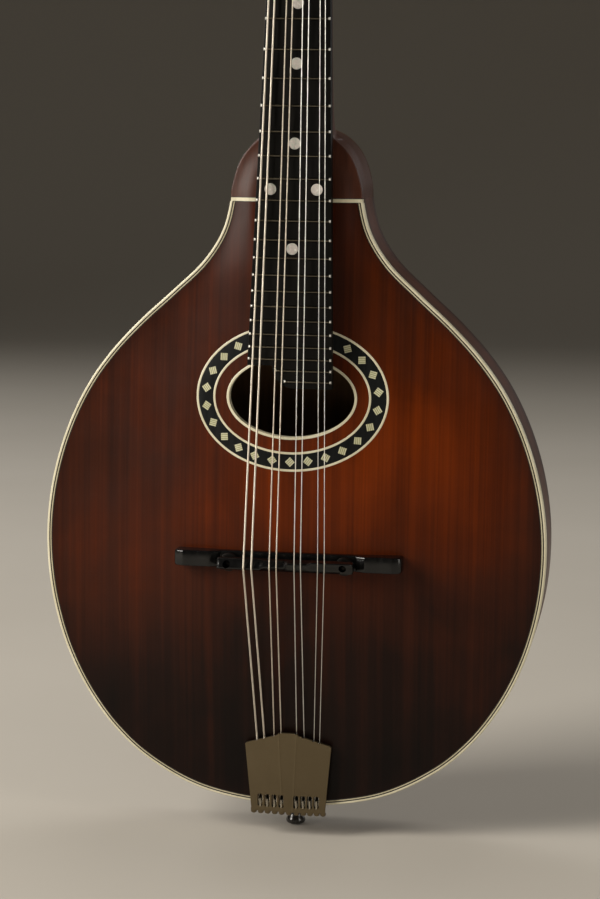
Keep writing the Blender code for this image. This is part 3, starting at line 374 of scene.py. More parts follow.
def tube_pts(path, radius, seg=12, spin=0.0):
    """Round tube round a path in metres with turning-free frames."""
    p = np.array(path, float)
    t = np.gradient(p, axis=0)
    t /= np.linalg.norm(t, axis=1)[:, None]
    up = np.array([0.0, -1.0, 0.0])
    if abs(t[0] @ up) > 0.9:
        up = np.array([1.0, 0.0, 0.0])
    n = up - (up @ t[0]) * t[0]
    n /= np.linalg.norm(n)
    out = []
    r = np.broadcast_to(np.asarray(radius, float), (len(p),))
    for k in range(len(p)):
        n = n - (n @ t[k]) * t[k]
        n /= np.linalg.norm(n)
        b = np.cross(t[k], n)
        a = 2 * PI * np.arange(seg) / seg + spin
        out.append(p[k] + r[k] * MM * (np.outer(np.cos(a), n) + np.outer(np.sin(a), b)))
    return np.array(out)


def tube(shape, path, radius, seg=12, mat=0):
    return shape.grid(tube_pts(path, radius, seg), cv=True, caps=True, mat=mat)


def arc(cx, cy, r, a0, a1, n):
    a = np.radians(np.linspace(a0, a1, n))
    return [(cx + r * math.cos(t), cy + r * math.sin(t)) for t in a]


def round_poly(points, radii, n=6):
    """Closed polygon with each corner rounded by its radius."""
    pts = [np.array(p, float) for p in points]
    out = []
    for i, p in enumerate(pts):
        r = radii[i] if isinstance(radii, (list, tuple)) else radii
        a, b = pts[i - 1] - p, pts[(i + 1) % len(pts)] - p
        la, lb = np.linalg.norm(a), np.linalg.norm(b)
        a, b = a / la, b / lb
        ang = math.acos(max(-1, min(1, a @ b)))
        if r <= 0 or ang > PI - 1e-3:
            out.append(tuple(p))
            continue
        d = min(r / math.tan(ang / 2), 0.48 * la, 0.48 * lb)
        rr = d * math.tan(ang / 2)
        c = p + (a + b) / np.linalg.norm(a + b) * (rr / math.sin(ang / 2))
        s, e = p + a * d - c, p + b * d - c
        a0 = math.atan2(s[1], s[0])
        da = (math.atan2(e[1], e[0]) - a0 + PI) % (2 * PI) - PI
        for k in range(n + 1):
            t = a0 + da * k / n
            out.append((c[0] + rr * math.cos(t), c[1] + rr * math.sin(t)))
    return out


# ---------------------------------------------------------------- materials
class Mat:
    """A Principled material with small helpers for its node graph."""

    def __init__(self, name, rough=0.4, metal=0.0, coat=0.0, coat_rough=0.15, spec=0.5,
                 ior=1.5, aniso=0.0):
        self.m = bpy.data.materials.new(name)
        self.m.use_nodes = True
        self.nt = self.m.node_tree
        self.b = self.nt.nodes["Principled BSDF"]
        s = self.b.inputs
        s["Roughness"].default_value = rough
        s["Metallic"].default_value = metal
        s["Coat Weight"].default_value = coat
        s["Coat Roughness"].default_value = coat_rough
        s["Specular IOR Level"].default_value = spec
        s["IOR"].default_value = ior
        s["Anisotropic"].default_value = aniso
        tc = self.nt.nodes.new("ShaderNodeTexCoord")
        self.coord = tc.outputs["Object"]

    def node(self, kind, **props):
        n = self.nt.nodes.new(kind)
        for k, v in props.items():
            setattr(n, k, v)
        return n

    def put(self, socket, value):
        if isinstance(value, bpy.types.NodeSocket):
            self.nt.links.new(value, socket)
        elif isinstance(value, (tuple, list)) and len(value) == 3 and socket.type == "RGBA":
            socket.default_value = (*value, 1.0)
        else:
            socket.default_value = value

    def mapped(self, scale=(1, 1, 1), loc=(0, 0, 0), rot=(0, 0, 0)):
        n = self.node("ShaderNodeMapping")
        self.put(n.inputs["Vector"], self.coord)
        n.inputs["Scale"].default_value = scale
        n.inputs["Location"].default_value = loc
        n.inputs["Rotation"].default_value = rot
        return n.outputs["Vector"]

    def noise(self, scale=(1, 1, 1), detail=3.0, rough=0.5, dist=0.0, loc=(0, 0, 0)):
        n = self.node("ShaderNodeTexNoise")
        self.put(n.inputs["Vector"], self.mapped(scale, loc))
        n.inputs["Scale"].default_value = 1.0
        n.inputs["Detail"].default_value = detail
        n.inputs["Roughness"].default_value = rough
        n.inputs["Distortion"].default_value = dist
        return n.outputs["Fac"]

    def math(self, op, a, b=0.0, c=0.0):
        n = self.node("ShaderNodeMath", operation=op)
        self.put(n.inputs[0], a)
        self.put(n.inputs[1], b)
        self.put(n.inputs[2], c)
        return n.outputs[0]

    def fit(self, v, lo, hi, a=0.0, b=1.0, smooth=False):
        n = self.node("ShaderNodeMapRange")
        if smooth:
            n.interpolation_type = "SMOOTHSTEP"
        self.put(n.inputs["Value"], v)
        n.inputs["From Min"].default_value = lo
        n.inputs["From Max"].default_value = hi
        n.inputs["To Min"].default_value = a
        n.inputs["To Max"].default_value = b
        return n.outputs["Result"]

    def mix(self, fac, a, b, mode="MIX"):
        n = self.node("ShaderNodeMix", data_type="RGBA", blend_type=mode)
        self.put(n.inputs[0], fac)
        self.put(n.inputs[6], a)
        self.put(n.inputs[7], b)
        return n.outputs[2]

    def ramp(self, fac, stops):
        n = self.node("ShaderNodeValToRGB")
        self.put(n.inputs["Fac"], fac)
        e = n.color_ramp.elements
        while len(e) < len(stops):
            e.new(0.5)
        for el, (pos, col) in zip(e, stops):
            el.position = pos
            el.color = (*col, 1.0)
        return n.outputs["Color"]

    def attr(self, name):
        n = self.node("ShaderNodeAttribute", attribute_name=name)
        return n.outputs["Fac"]

    def xyz(self, vec=None):
        n = self.node("ShaderNodeSeparateXYZ")
        self.put(n.inputs[0], vec or self.coord)
        return n.outputs

    def bump(self, height, strength, dist, normal=None):
        n = self.node("ShaderNodeBump")
        n.inputs["Strength"].default_value = strength
        n.inputs["Distance"].default_value = dist
        self.put(n.inputs["Height"], height)
        if normal is not None:
            self.put(n.inputs["Normal"], normal)
        return n.outputs["Normal"]

    def set(self, colour=None, rough=None, normal=None):
        if colour is not None:
            self.put(self.b.inputs["Base Color"], colour)
        if rough is not None:
            self.put(self.b.inputs["Roughness"], rough)
        if normal is not None:
            self.put(self.b.inputs["Normal"], normal)
        return self.m


def srgb(r, g, b):
    def f(c):
        c /= 255.0
        return c / 12.92 if c <= 0.04045 else ((c + 0.055) / 1.055) ** 2.4
    return (f(r), f(g), f(b))


def soundboard_finish():
    m = Mat("sunburst_spruce", spec=0.17)
    warm = m.attr("burst")
    edge = m.attr("edge")
    fine = m.noise((820, 40, 4.0), 4.0, 0.62)
    fine2 = m.noise((330, 30, 2.4), 3.0, 0.5, 0.0, (3.1, 0, 1.7))
    wide = m.noise((150, 10, 1.8), 3.0, 0.55, 0.0, (9.3, 0, 0.4))
    wider = m.noise((48, 10, 3.0), 2.0, 0.5, 0.0, (4.3, 0, 2.4))
    cloud = m.noise((19, 5, 15), 3.0, 0.55, 0.6, (1.0, 2.0, 5.0))
    silk = m.noise((120, 20, 260), 2.0, 0.5, 0.8, (6.0, 2.0, 1.0))
    t = m.math("ADD", warm, m.fit(cloud, 0.3, 0.7, -0.10, 0.10))
    t = m.math("ADD", t, m.fit(wide, 0.3, 0.7, -0.09, 0.09))
    t = m.math("ADD", t, m.fit(wider, 0.3, 0.7, -0.06, 0.06))
    base = m.ramp(t, [(0.0, srgb(12, 5, 3)), (0.2, srgb(26, 10, 5)), (0.5, srgb(55, 21, 6)),
                      (0.76, srgb(75, 26, 1)), (1.0, srgb(103, 38, 1))])
    grain = m.math("ADD", m.math("MULTIPLY", fine, 0.55), m.math("MULTIPLY", fine2, 0.38))
    grain = m.math("ADD", grain, m.math("MULTIPLY", silk, 0.07))
    col = m.mix(1.0, base, m.ramp(m.fit(grain, 0.37, 0.63), [(0.0, (0.76, 0.74, 0.72)),
                                                           (0.5, (1.0, 1.0, 1.0)),
                                                           (1.0, (1.26, 1.25, 1.22))]),
                "MULTIPLY")
    rim = m.fit(edge, 0.0, 1.0, 0.42, 0.0, True)
    col = m.mix(rim, col, srgb(26, 11, 8))
    rough = m.fit(m.noise((45, 45, 45), 4.0, 0.6), 0.3, 0.7, 0.33, 0.41)
    nrm = m.bump(grain, 0.10, 0.0004)
    return m.set(col, rough, nrm)


def hard_maple(name, dark, light, curl=0.5, lo=0.0, hi=0.0, coat=0.05, rough=0.42,
               along="z"):
    """Stained maple with fine grain, flecks and soft cross curl."""
    m = Mat(name, coat=coat, coat_rough=0.30, spec=0.28)
    fine = m.noise((420, 420, 9), 3.0, 0.6)
    fleck = m.noise((900, 900, 60), 2.0, 0.5, 0.0, (2, 4, 6))
    curls = m.noise((14, 14, 150), 2.0, 0.45, 0.5, (5, 1, 3))
    big = m.noise((11, 11, 5), 2.0, 0.5)
    t = m.math("ADD", m.math("MULTIPLY", fine, 0.35), m.math("MULTIPLY", curls, 0.40 * curl))
    t = m.math("ADD", t, m.math("MULTIPLY", big, 0.35))
    t = m.math("ADD", t, m.math("MULTIPLY", fleck, 0.12))
    col = m.ramp(m.fit(t, 0.30, 0.75), [(0.0, dark), (1.0, light)])
    if hi > lo:
        e = m.attr("edge")
        col = m.mix(m.fit(e, 0.0, 1.0, 0.75, 0.0, True), col, tuple(c * 0.35 for c in dark))
    nrm = m.bump(fine, 0.06, 0.0003)
    r = m.fit(m.noise((60, 60, 60), 3.0, 0.5), 0.3, 0.7, rough - 0.05, rough + 0.06)
    return m.set(col, r, nrm)


def bare_wood(name, a, b, rough=0.72):
    m = Mat(name, spec=0.3)
    fine = m.noise((500, 500, 14), 4.0, 0.6)
    big = m.noise((60, 60, 5), 2.0, 0.5, 0.0, (4, 4, 4))
    col = m.ramp(m.fit(m.math("ADD", m.math("MULTIPLY", fine, 0.6),
                              m.math("MULTIPLY", big, 0.4)), 0.3, 0.7), [(0.0, a), (1.0, b)])
    return m.set(col, m.fit(fine, 0.3, 0.7, rough - 0.06, rough + 0.08),
                 m.bump(fine, 0.2, 0.0004))


def ebony(name, rough=0.36, base=(0.010, 0.009, 0.008), light=(0.024, 0.021, 0.018),
          coat=0.0, spec=0.42):
    m = Mat(name, spec=spec, coat=coat, coat_rough=0.2)
    g = m.noise((520, 520, 16), 3.0, 0.55)
    s = m.noise((120, 120, 3), 2.0, 0.5, 0.0, (7, 1, 2))
    col = m.ramp(m.fit(m.math("ADD", m.math("MULTIPLY", g, 0.5),
                              m.math("MULTIPLY", s, 0.5)), 0.35, 0.70),
                 [(0.0, base), (1.0, light)])
    r = m.fit(g, 0.3, 0.7, rough - 0.05, rough + 0.08)
    return m.set(col, r, m.bump(g, 0.10, 0.0002))


def ivoroid(name, a, b, rough=0.34):
    m = Mat(name, rough, spec=0.5, coat=0.2, coat_rough=0.2)
    g = m.noise((380, 380, 26), 3.0, 0.55, 0.3)
    big = m.noise((40, 40, 40), 3.0, 0.6, 0.0, (1, 5, 2))
    t = m.math("ADD", m.math("MULTIPLY", g, 0.45), m.math("MULTIPLY", big, 0.55))
    col = m.ramp(m.fit(t, 0.33, 0.68), [(0.0, a), (1.0, b)])
    return m.set(col, m.fit(big, 0.3, 0.7, rough - 0.05, rough + 0.08))


def metal(name, colour, rough=0.25, brushed=(300, 300, 12), strength=0.04, smudge=0.12,
          tarnish=0.10, aniso=0.0):
    m = Mat(name, rough, 1.0, aniso=aniso)
    g = m.noise(brushed, 4.0, 0.6)
    big = m.noise((55, 55, 55), 4.0, 0.6, 0.3, (2, 2, 9))
    spot = m.noise((700, 700, 700), 2.0, 0.5)
    d = tuple(c * (1 - tarnish) for c in colour)
    col = m.ramp(m.fit(m.math("ADD", m.math("MULTIPLY", big, 0.7),
                              m.math("MULTIPLY", spot, 0.3)), 0.34, 0.66),
                 [(0.0, d), (1.0, colour)])
    r = m.fit(big, 0.3, 0.7, max(0.04, rough - smudge * 0.5), rough + smudge)
    return m.set(col, r, m.bump(g, strength, 0.0002))


def wound(name, colour, pitch=0.00042, rough=0.28):
    """Round wire wound on a core: ridges across the string."""
    m = Mat(name, rough, 1.0)
    x, y, z = m.xyz()
    s = m.math("SINE", m.math("MULTIPLY", z, 2 * PI / pitch))
    h = m.math("ABSOLUTE", s)
    big = m.noise((90, 90, 90), 3.0, 0.6)
    # the grooves between the windings are painted darker: painted shade
    col = m.mix(m.fit(h, 0.0, 0.45, 0.55, 0.0, True), colour, tuple(c * 0.25 for c in colour))
    col = m.mix(m.fit(big, 0.35, 0.65, 0.0, 0.18), col, tuple(c * 0.55 for c in colour))
    return m.set(col, m.fit(big, 0.3, 0.7, rough - 0.04, rough + 0.10),
                 m.bump(h, 0.5, 0.00008))


def pearl(name):
    m = Mat(name, 0.22, spec=0.6, coat=0.6, coat_rough=0.08)
    a = m.noise((180, 180, 260), 4.0, 0.6, 1.4)
    b = m.noise((420, 420, 300), 3.0, 0.6, 2.0, (4, 4, 4))
    col = m.ramp(m.fit(m.math("ADD", m.math("MULTIPLY", a, 0.6),
                              m.math("MULTIPLY", b, 0.4)), 0.32, 0.68),
                 [(0.0, srgb(148, 156, 150)), (0.35, srgb(196, 196, 186)),
                  (0.65, srgb(206, 196, 190)), (1.0, srgb(228, 230, 222))])
    return m.set(col, m.fit(b, 0.3, 0.7, 0.16, 0.30), m.bump(a, 0.05, 0.0002))


TOP_FIN = soundboard_finish()
BACK_FIN = hard_maple("stained_back", srgb(48, 19, 9), srgb(96, 42, 16), 1.0, 0, 1)
SIDE_FIN = hard_maple("stained_sides", srgb(46, 20, 10), srgb(84, 38, 16), 1.0, 0, 1)
NECK_FIN = hard_maple("stained_neck", srgb(48, 24, 15), srgb(84, 43, 26), 0.5)
BARE_MAPLE = bare_wood("bare_maple_grain", srgb(96, 70, 44), srgb(128, 96, 62))
BARE_SPRUCE = bare_wood("bare_spruce_grain", srgb(112, 84, 52), srgb(146, 112, 72))
BOARD_FIN = ebony("ebony_board", 0.38, (0.003, 0.003, 0.0025), (0.009, 0.008, 0.007), spec=0.10)
BRIDGE_FIN = ebony("ebony_bridge", 0.17, (0.002, 0.002, 0.002), (0.005, 0.005, 0.005), spec=0.42)
OVERLAY_FIN = ebony("ebony_overlay", 0.34, coat=0.12, spec=0.3)
CREAM = ivoroid("aged_cream", srgb(206, 198, 168), srgb(228, 221, 194))
DULL_CREAM = ivoroid("aged_cream_line", srgb(172, 163, 134), srgb(200, 191, 162))
BLACK_LINE = ebony("black_purfling", 0.4, (0.010, 0.008, 0.007), (0.022, 0.017, 0.013))
BAND_FIN = ebony("black_band", 0.34, (0.005, 0.006, 0.006), (0.010, 0.011, 0.011), spec=0.18)
SQUARE_FIN = ivoroid("pale_inlay", srgb(186, 184, 150), srgb(216, 214, 184), 0.3)
OLIVE = ivoroid("olive_inlay_line", srgb(104, 104, 56), srgb(140, 138, 80), 0.4)
PEARL = pearl("pearl_dot")
BONE = ivoroid("polished_bone", srgb(206, 198, 172), srgb(232, 226, 206), 0.26)


def fret_metal():
    """Crowns painted darker than the wire is, as painted shade; ends painted near white as painted
    highlights where the end bevels catch the light.
    """
    m = Mat("fret_wire_metal", 0.2, 1.0)
    g = m.noise((60, 60, 900), 4.0, 0.6)
    big = m.noise((55, 55, 55), 4.0, 0.6, 0.3, (2, 2, 9))
    tip = m.attr("tip")
    # crown colour painted darker than nickel silver: painted shade; the ends (tip) are painted near white
    # below: painted highlight
    col = m.ramp(m.fit(big, 0.34, 0.66), [(0.0, srgb(96, 91, 80)), (1.0, srgb(130, 124, 110))])
    col = m.mix(tip, col, srgb(250, 248, 240))
    return m.set(col, m.fit(tip, 0.0, 1.0, 0.22, 0.45), m.bump(g, 0.02, 0.0002))


FRET_FIN = fret_metal()
NICKEL = metal("polished_nickel", srgb(206, 200, 186), 0.16, (400, 400, 400), 0.02, 0.08)
STEEL = metal("plain_steel", srgb(190, 190, 188), 0.28)
SCREW = metal("screw_metal", srgb(186, 180, 166), 0.24)
TAIL_FIN = metal("satin_cast_nickel", srgb(118, 105, 82), 0.40, (500, 60, 30), 0.05, 0.06,
                 0.08)
BLACK_MET = metal("blackened_metal", srgb(44, 42, 40), 0.34)
WOUND = wound("wound_string_metal", srgb(240, 230, 214), 0.00042, 0.40)
WOUND_D = wound("wound_string_metal_fine", srgb(238, 226, 208), 0.00032, 0.40)
PLAIN = metal("plain_string_metal", srgb(240, 238, 232), 0.34, (40, 40, 900), 0.01)
BUTTON = ivoroid("cream_button", srgb(200, 186, 146), srgb(228, 218, 186), 0.22)
PIN_FIN = ebony("ebony_pin", 0.24, coat=0.4)


def give(ob, name, values):
    a = ob.data.attributes.new(name, "FLOAT", "POINT")
    a.data.foreach_set("value", np.asarray(values, np.float32))


def drawing_of(ob):
    co = np.empty(len(ob.data.vertices) * 3)
    ob.data.vertices.foreach_get("co", co)
    co = co.reshape(-1, 3) / MM
    return co[:, 0], -co[:, 1] + PIN_H, co[:, 2] - Z12


# ---------------------------------------------------------------- soundboard
def loop(d, zt, n_half=170, n_top=26):
    """Closed outline moved in by d, closed along the neck joint at zt."""
    r = inner(d, n_half, zt)
    left = r[::-1][1:] * (-1, 1)
    xs = np.linspace(-r[0][0], r[0][0], n_top + 2)[1:-1]
    return np.vstack([r, left, np.stack([xs, np.full(n_top, zt)], 1)])


def ellipse_at(phi, a, b):
    r = 1.0 / np.sqrt((np.sin(phi) / a) ** 2 + (np.cos(phi) / b) ** 2)
    return np.stack([r * np.sin(phi), HOLE_Z + r * np.cos(phi)], 1)


def soundboard():
    out_top, out_ledge = loop(2.9, -1.15), loop(1.25, -1.15)
    phi = np.arctan2(out_top[:, 0], out_top[:, 1] - HOLE_Z)
    e0, e1 = ellipse_at(phi, 32.7, 20.7), ellipse_at(phi, 38.45, 26.85)
    e2 = ellipse_at(phi, 48.25, 36.55)
    rows = []

    def row(xz, drop):
        x, z = xz[:, 0], xz[:, 1]
        rows.append(P(x, top_h(x, z) - drop, z))

    row(e0, TOP_T)
    row(e0, 0.12)
    for t in np.linspace(0.02, 1, 6):
        row(e0 + (e1 - e0) * t, 0.0)
    row(e1, 1.3)
    for t in (0.33, 0.66):
        row(e1 + (e2 - e1) * t, 1.3)
    row(e2, 1.3)
    row(e2, 0.0)
    for t in np.linspace(0, 1, 64)[1:]:
        row(e2 + (out_top - e2) * t, 0.0)
    row(out_top, 1.3)
    row(out_ledge, 1.3)
    row(out_ledge, TOP_T)
    for t in np.linspace(0, 1, 18)[1:-1]:
        row(out_ledge + (e0 - out_ledge) * t, TOP_T)
    pts = np.array(rows)
    ob = piece("soundboard", Shape().grid(pts, cu=True, cv=True), [TOP_FIN, BARE_SPRUCE],
               instead=("top_plate",), slot="top_finish", angle=40)
    x, h, z = drawing_of(ob)
    edge = edge_distance(x, z)
    lower = h < top_h(x, z) - 0.5
    for f in ob.data.polygons:
        if all(lower[i] for i in f.vertices):
            f.material_index = 1
    give(ob, "edge", np.clip(edge / 10.0, 0, 1))
    fall = 0.16 + 0.84 * ease((z + 272.0) / 112.0)
    warm = 0.50 + 0.46 * np.exp(-((x - 56) / 60.0) ** 2 - ((z + 128) / 56.0) ** 2)
    warm += 0.24 * np.exp(-((x + 18) / 44.0) ** 2 - ((z + 150) / 44.0) ** 2)
    warm -= 0.13 * np.exp(-((x - 122) / 20.0) ** 2)
    warm = warm * fall
    warm += 0.15 * np.exp(-((x - 98) / 16.0) ** 2 - ((z + 240) / 32.0) ** 2)
    warm += 0.16 * np.exp(-((x + 84) / 30.0) ** 2 - ((z + 212) / 44.0) ** 2)
    warm += 0.08 * np.exp(-((x - 74) / 30.0) ** 2 - ((z + 215) / 9.0) ** 2)
    warm -= 0.13 * np.exp(-((x - 50) / 45.0) ** 2 - ((z + 212) / 24.0) ** 2)
    give(ob, "burst", np.clip(warm, 0, 1))
    return ob


soundboard()


def edge_strips(name, profiles, mats, zt, **kw):
    """Strips round the top's edge: each profile is a closed list of (d, h)."""
    s = Shape()
    for k, prof in enumerate(profiles):
        cols = []
        for d, h in prof:
            r = inner(d, 260, zt)
            c = np.vstack([r, r[::-1][1:] * (-1, 1)])
            cols.append(P(c[:, 0], h, c[:, 1]))
        s.grid(np.stack(cols, 1), cv=True, mat=k if len(mats) > 1 else 0, caps=True)
    return piece(name, s, mats, **kw)


edge_strips("top_binding_cream",
            [[(0.0, -4.0), (0.0, -0.75), (0.08, -0.42), (0.26, -0.16), (0.55, -0.02),
              (0.85, 0.02), (1.2, 0.02), (1.2, -4.0)]], [CREAM], -0.86,
            instead=("top_binding",), slot="ivoroid", angle=50)
edge_strips("top_purfling",
            [[(1.22, -1.25), (1.22, 0.02), (1.80, 0.03), (1.80, -1.25)],
             [(1.81, -1.25), (1.81, 0.03), (2.38, 0.04), (2.38, -1.25)],
             [(2.39, -1.25), (2.39, 0.04), (2.88, 0.05), (2.88, -1.25)]],
            [BLACK_LINE, DULL_CREAM, BLACK_LINE], -1.16, slot="ivoroid", angle=40)


def cross_strip():
    s = Shape()
    xo = float(inner(0.0, 260, 0.0)[0][0])
    xi = float(inner(1.2, 260, 0.0)[0][0])
    for k, (z0, z1, w, lift) in enumerate(((-0.85, 0.85, xo - 0.02, 0.03),
                                           (-1.14, -0.86, xi - 0.03, 0.02),
                                           (0.86, 1.12, xo - 0.05, 0.02))):
        xs = np.linspace(-w, w, 90)
        if k == 0:
            xs = np.r_[-w, -w + 0.1, -w + 0.35, -w + 0.8, np.linspace(-w + 1.6, w - 1.6, 84),
                       w - 0.8, w - 0.35, w - 0.1, w]
        top = np.maximum(top_h(xs, 0.0), 0) + lift
        if k == 0:
            d = w - np.abs(xs)
            top -= np.where(d < 0.8, 0.8 - np.sqrt(np.maximum(0, 0.64 - (0.8 - d) ** 2)), 0)
        prof = [(z0, -1.25 if k else -4.0), (z0, None), (z1, None), (z1, -1.25 if k else -4.0)]
        cols = [P(xs, top if h is None else np.full_like(xs, h), z) for z, h in prof]
        s.grid(np.stack(cols, 1), cv=True, mat=1 if k else 0, caps=True)
    return piece("joint_strip", s, [CREAM, BLACK_LINE], slot="ivoroid", angle=45)


cross_strip()

# ---------------------------------------------------------------- rosette
def oval_ring(shape, inside, outside, lift, depth, mat=0, n=220):
    t = 2 * PI * np.arange(n) / n
    rows = []
    for f, drop in ((0, depth), (0, 0.06), (0.12, 0.0), (0.88, 0.0), (1, 0.06), (1, depth)):
        a = inside[0] + (outside[0] - inside[0]) * f
        b = inside[1] + (outside[1] - inside[1]) * f
        x, z = a * np.sin(t), HOLE_Z + b * np.cos(t)
        rows.append(P(x, top_h(x, z) + lift - drop, z))
    return shape.grid(np.array(rows), cu=True, cv=True, mat=mat)


rings = Shape()
oval_ring(rings, (31.4, 19.4), (32.68, 20.68), 0.06, 4.6)
oval_ring(rings, (38.48, 26.88), (39.56, 27.96), 0.04, 1.28)
oval_ring(rings, (47.12, 35.42), (48.22, 36.52), 0.04, 1.28)
piece("rosette_rings", rings, CREAM, instead=("rosette",), slot="rosette_inlay", angle=40)

dense = np.linspace(0, 2 * PI, 4001)
ex, ez = 43.4 * np.sin(dense), 31.75 * np.cos(dense)
arcs = np.r_[0, np.cumsum(np.hypot(np.diff(ex), np.diff(ez)))]
SIDE = 3.45
squares, pockets = Shape(), Shape()
for k in range(-13, 13):
    s = arcs[-1] / 2 + (k + 0.5) * 9.02 - 4.51
    t = float(np.interp(s, arcs, dense))
    c = np.array([43.4 * math.sin(t), 31.75 * math.cos(t)])
    if abs(c[0]) < 24.0 and c[1] > 0:      # the band is plain under the fingerboard
        continue
    nrm = np.array([c[0] / 43.4 ** 2, c[1] / 31.75 ** 2])
    nrm /= np.linalg.norm(nrm)
    tng = np.array([-nrm[1], nrm[0]])
    ea, eb = (nrm + tng) / math.sqrt(2), (nrm - tng) / math.sqrt(2)
    bounds = [-SIDE / 2]
    bar = (SIDE - 3 * 0.27) / 4
    for j in range(3):
        bounds += [bounds[-1] + bar, bounds[-1] + bar + 0.27]
    bounds.append(SIDE / 2)
    for shp, grow, lift, dep, cols in ((squares, 0.0, 0.05, 0.55, [0, 1, 0, 1, 0, 1, 0]),
                                       (pockets, 0.03, 0.6, 0.6, [0] * 7)):
        us = np.array(bounds) * (1 + 2 * grow / SIDE)
        vs = np.array([-SIDE / 2 - grow, SIDE / 2 + grow])
        rows_up = []
        for v in vs:
            q = c + np.outer(us, ea) + v * eb
            rows_up.append(np.stack([q[:, 0], q[:, 1] + HOLE_Z], 1))
        ups = [P(q[:, 0], top_h(q[:, 0], q[:, 1]) + lift, q[:, 1]) for q in rows_up]
        dns = [P(q[:, 0], top_h(q[:, 0], q[:, 1]) - dep, q[:, 1]) for q in rows_up]
        shp.grid(np.array([dns[0], ups[0], ups[1], dns[1]]), cu=True, cols=cols)
        for e in (0, -1):
            base = shp.n
            shp.v.append(np.array([dns[0][e], ups[0][e], ups[1][e], dns[1][e]]))
            shp.f.append([base, base + 1, base + 2, base + 3])
            shp.m.append(0)
            shp.n += 4
band = Shape()
oval_ring(band, (39.58, 27.98), (47.1, 35.4), 0.02, 1.28, n=260)
band_ob = piece("rosette_band", band, BAND_FIN, slot="rosette_inlay", angle=40)
cut(band_ob, [pockets], 40)
piece("rosette_squares", squares, [SQUARE_FIN, OLIVE], slot="rosette_inlay", angle=40)

# ---------------------------------------------------------------- sides and back
for nm, sg in (("bass", -1), ("treble", 1)):
    cols = []
    hs = [-4.05, -4.3] + list(np.linspace(-8, -34, 7)) + [-38.2, -38.45]
    for h in hs:
        c = inner(0.0, 260, 1.12)
        cols.append(P(sg * c[:, 0] + (sg * 0.04 * (c[:, 0] < 0.01)), h, c[:, 1]))
    for h in (-38.45, -20.0, -4.05):
        c = inner(SIDE_T, 260, 1.12)
        cols.append(P(sg * np.maximum(c[:, 0], 0.04), h, c[:, 1]))
    ob = piece("rim_" + nm, Shape().grid(np.stack(cols, 1), cv=True, caps=True),
               [SIDE_FIN, BARE_MAPLE], instead=("side_" + nm,), slot="side_finish", angle=40)
    x, h, z = drawing_of(ob)
    give(ob, "edge", np.clip(np.minimum(-4 - h, h + 38.4) / 9.0, 0, 1))
    dist = edge_distance(x, z)
    for f in ob.data.polygons:
        if all(dist[i] > 1.6 for i in f.vertices):
            f.material_index = 1


def back():
    rise = SHOULD[::-1][:-1].copy()          # flush with the back of the heel
    rise[:, 1] += 2.5 * ease(rise[:, 1] / 9.0)
    c = np.vstack([rise, BODY[12:]])
    c = resample(c, 230)
    c[0][0] = c[-1][0] = 0.0
    out = np.vstack([c, c[::-1][1:-1] * (-1, 1)])
    cen = np.array([0.0, -120.0])
    tang = np.gradient(np.vstack([out[-2:], out, out[:2]]), axis=0)[2:-2]
    tang /= np.linalg.norm(tang, axis=1)[:, None]
    nin = np.stack([tang[:, 1], -tang[:, 0]], 1)
    rows = []

    def row(xz, fn):
        x, z = xz[:, 0], xz[:, 1]
        rows.append(P(x, fn(x, z), z))

    for t in np.r_[0.001, np.linspace(0.03, 1, 40)]:
        row(cen + (out + nin * 1.3 - cen) * t, back_h)
    for a in np.radians([25, 50, 75]):
        d = 1.3 * (1 - math.sin(a))
        row(out + nin * d, lambda x, z, a=a: np.full_like(x, -RIM) + 1.3 * (1 - math.cos(a)))
    row(out, lambda x, z: np.full_like(x, -RIM + 1.4))
    row(out, lambda x, z: np.full_like(x, -RIM + BACK_T))
    for t in np.linspace(1, 0.03, 26):
        row(cen + (out - cen) * t, lambda x, z: back_h(x, z) + BACK_T)
    row(cen + (out - cen) * 0.001, lambda x, z: back_h(x, z) + BACK_T)
    ob = piece("back_arched", Shape().grid(np.array(rows), cv=True, caps=True),
               [BACK_FIN, BARE_MAPLE], instead=("back_plate",), slot="back_finish", angle=40)
    x, h, z = drawing_of(ob)
    give(ob, "edge", np.clip(edge_distance(x, z) / 50.0, 0, 1))
    upper = h > back_h(x, z) + 2.0
    for f in ob.data.polygons:
        if all(upper[i] for i in f.vertices):
            f.material_index = 1
    return ob


back()

# ---------------------------------------------------------------- neck
def smax(a, b, k):
    return 0.5 * (a + b + np.sqrt((a - b) ** 2 + k * k))


SH = SHOULD[::-1]
LOWS = [(-40, -38.45), (24.0, -38.45), (29.0, -38.3), (32.0, -37.4), (34.5, -35.4), (38.0, -30.6),
        (42.5, -25.8), (49.0, -21.9), (59.0, -19.4), (75.0, -18.4), (105.0, -19.8),
        (135.0, -21.6), (158.0, -23.0)]
LOWC = spline(LOWS, 10)
N_SHO, N_MID, N_SIDE, N_BOT = 12, 9, 30, 10


def dome(z):
    return np.interp(z, SH[::-1][:, 1], SH[::-1][:, 0]) if z < 34.19 else 0.0


def half_section(wn, wd, depth, m, rb, k_fillet):
    """Half outline behind the face: (x, d) from the front edge to the middle."""
    e = 2 / 2.35
    a = np.linspace(0.0, PI / 2, N_SIDE)
    t = np.sin(a) ** e
    se = wn * np.cos(a) ** e
    x = (1 - m) * se + m * wn
    wd = wd(depth * t) if callable(wd) else np.full(N_SIDE, float(wd))
    k = k_fillet * np.clip(np.minimum(x, wd) / 3.0, 0, 1)
    x = np.where(wd > 0, smax(x, wd, k), x)
    y = depth * (1 - t)
    inset = rb - np.sqrt(np.maximum(0, rb ** 2 - np.maximum(0, rb - y) ** 2))
    x = np.maximum(0, x - inset * np.minimum(1.0, np.maximum(m, wd / 3)))
    xb = x[-1] * (1 - np.linspace(0, 1, N_BOT + 1)[1:])
    return np.r_[x, xb], np.r_[-depth * t, np.full(N_BOT, -depth)]


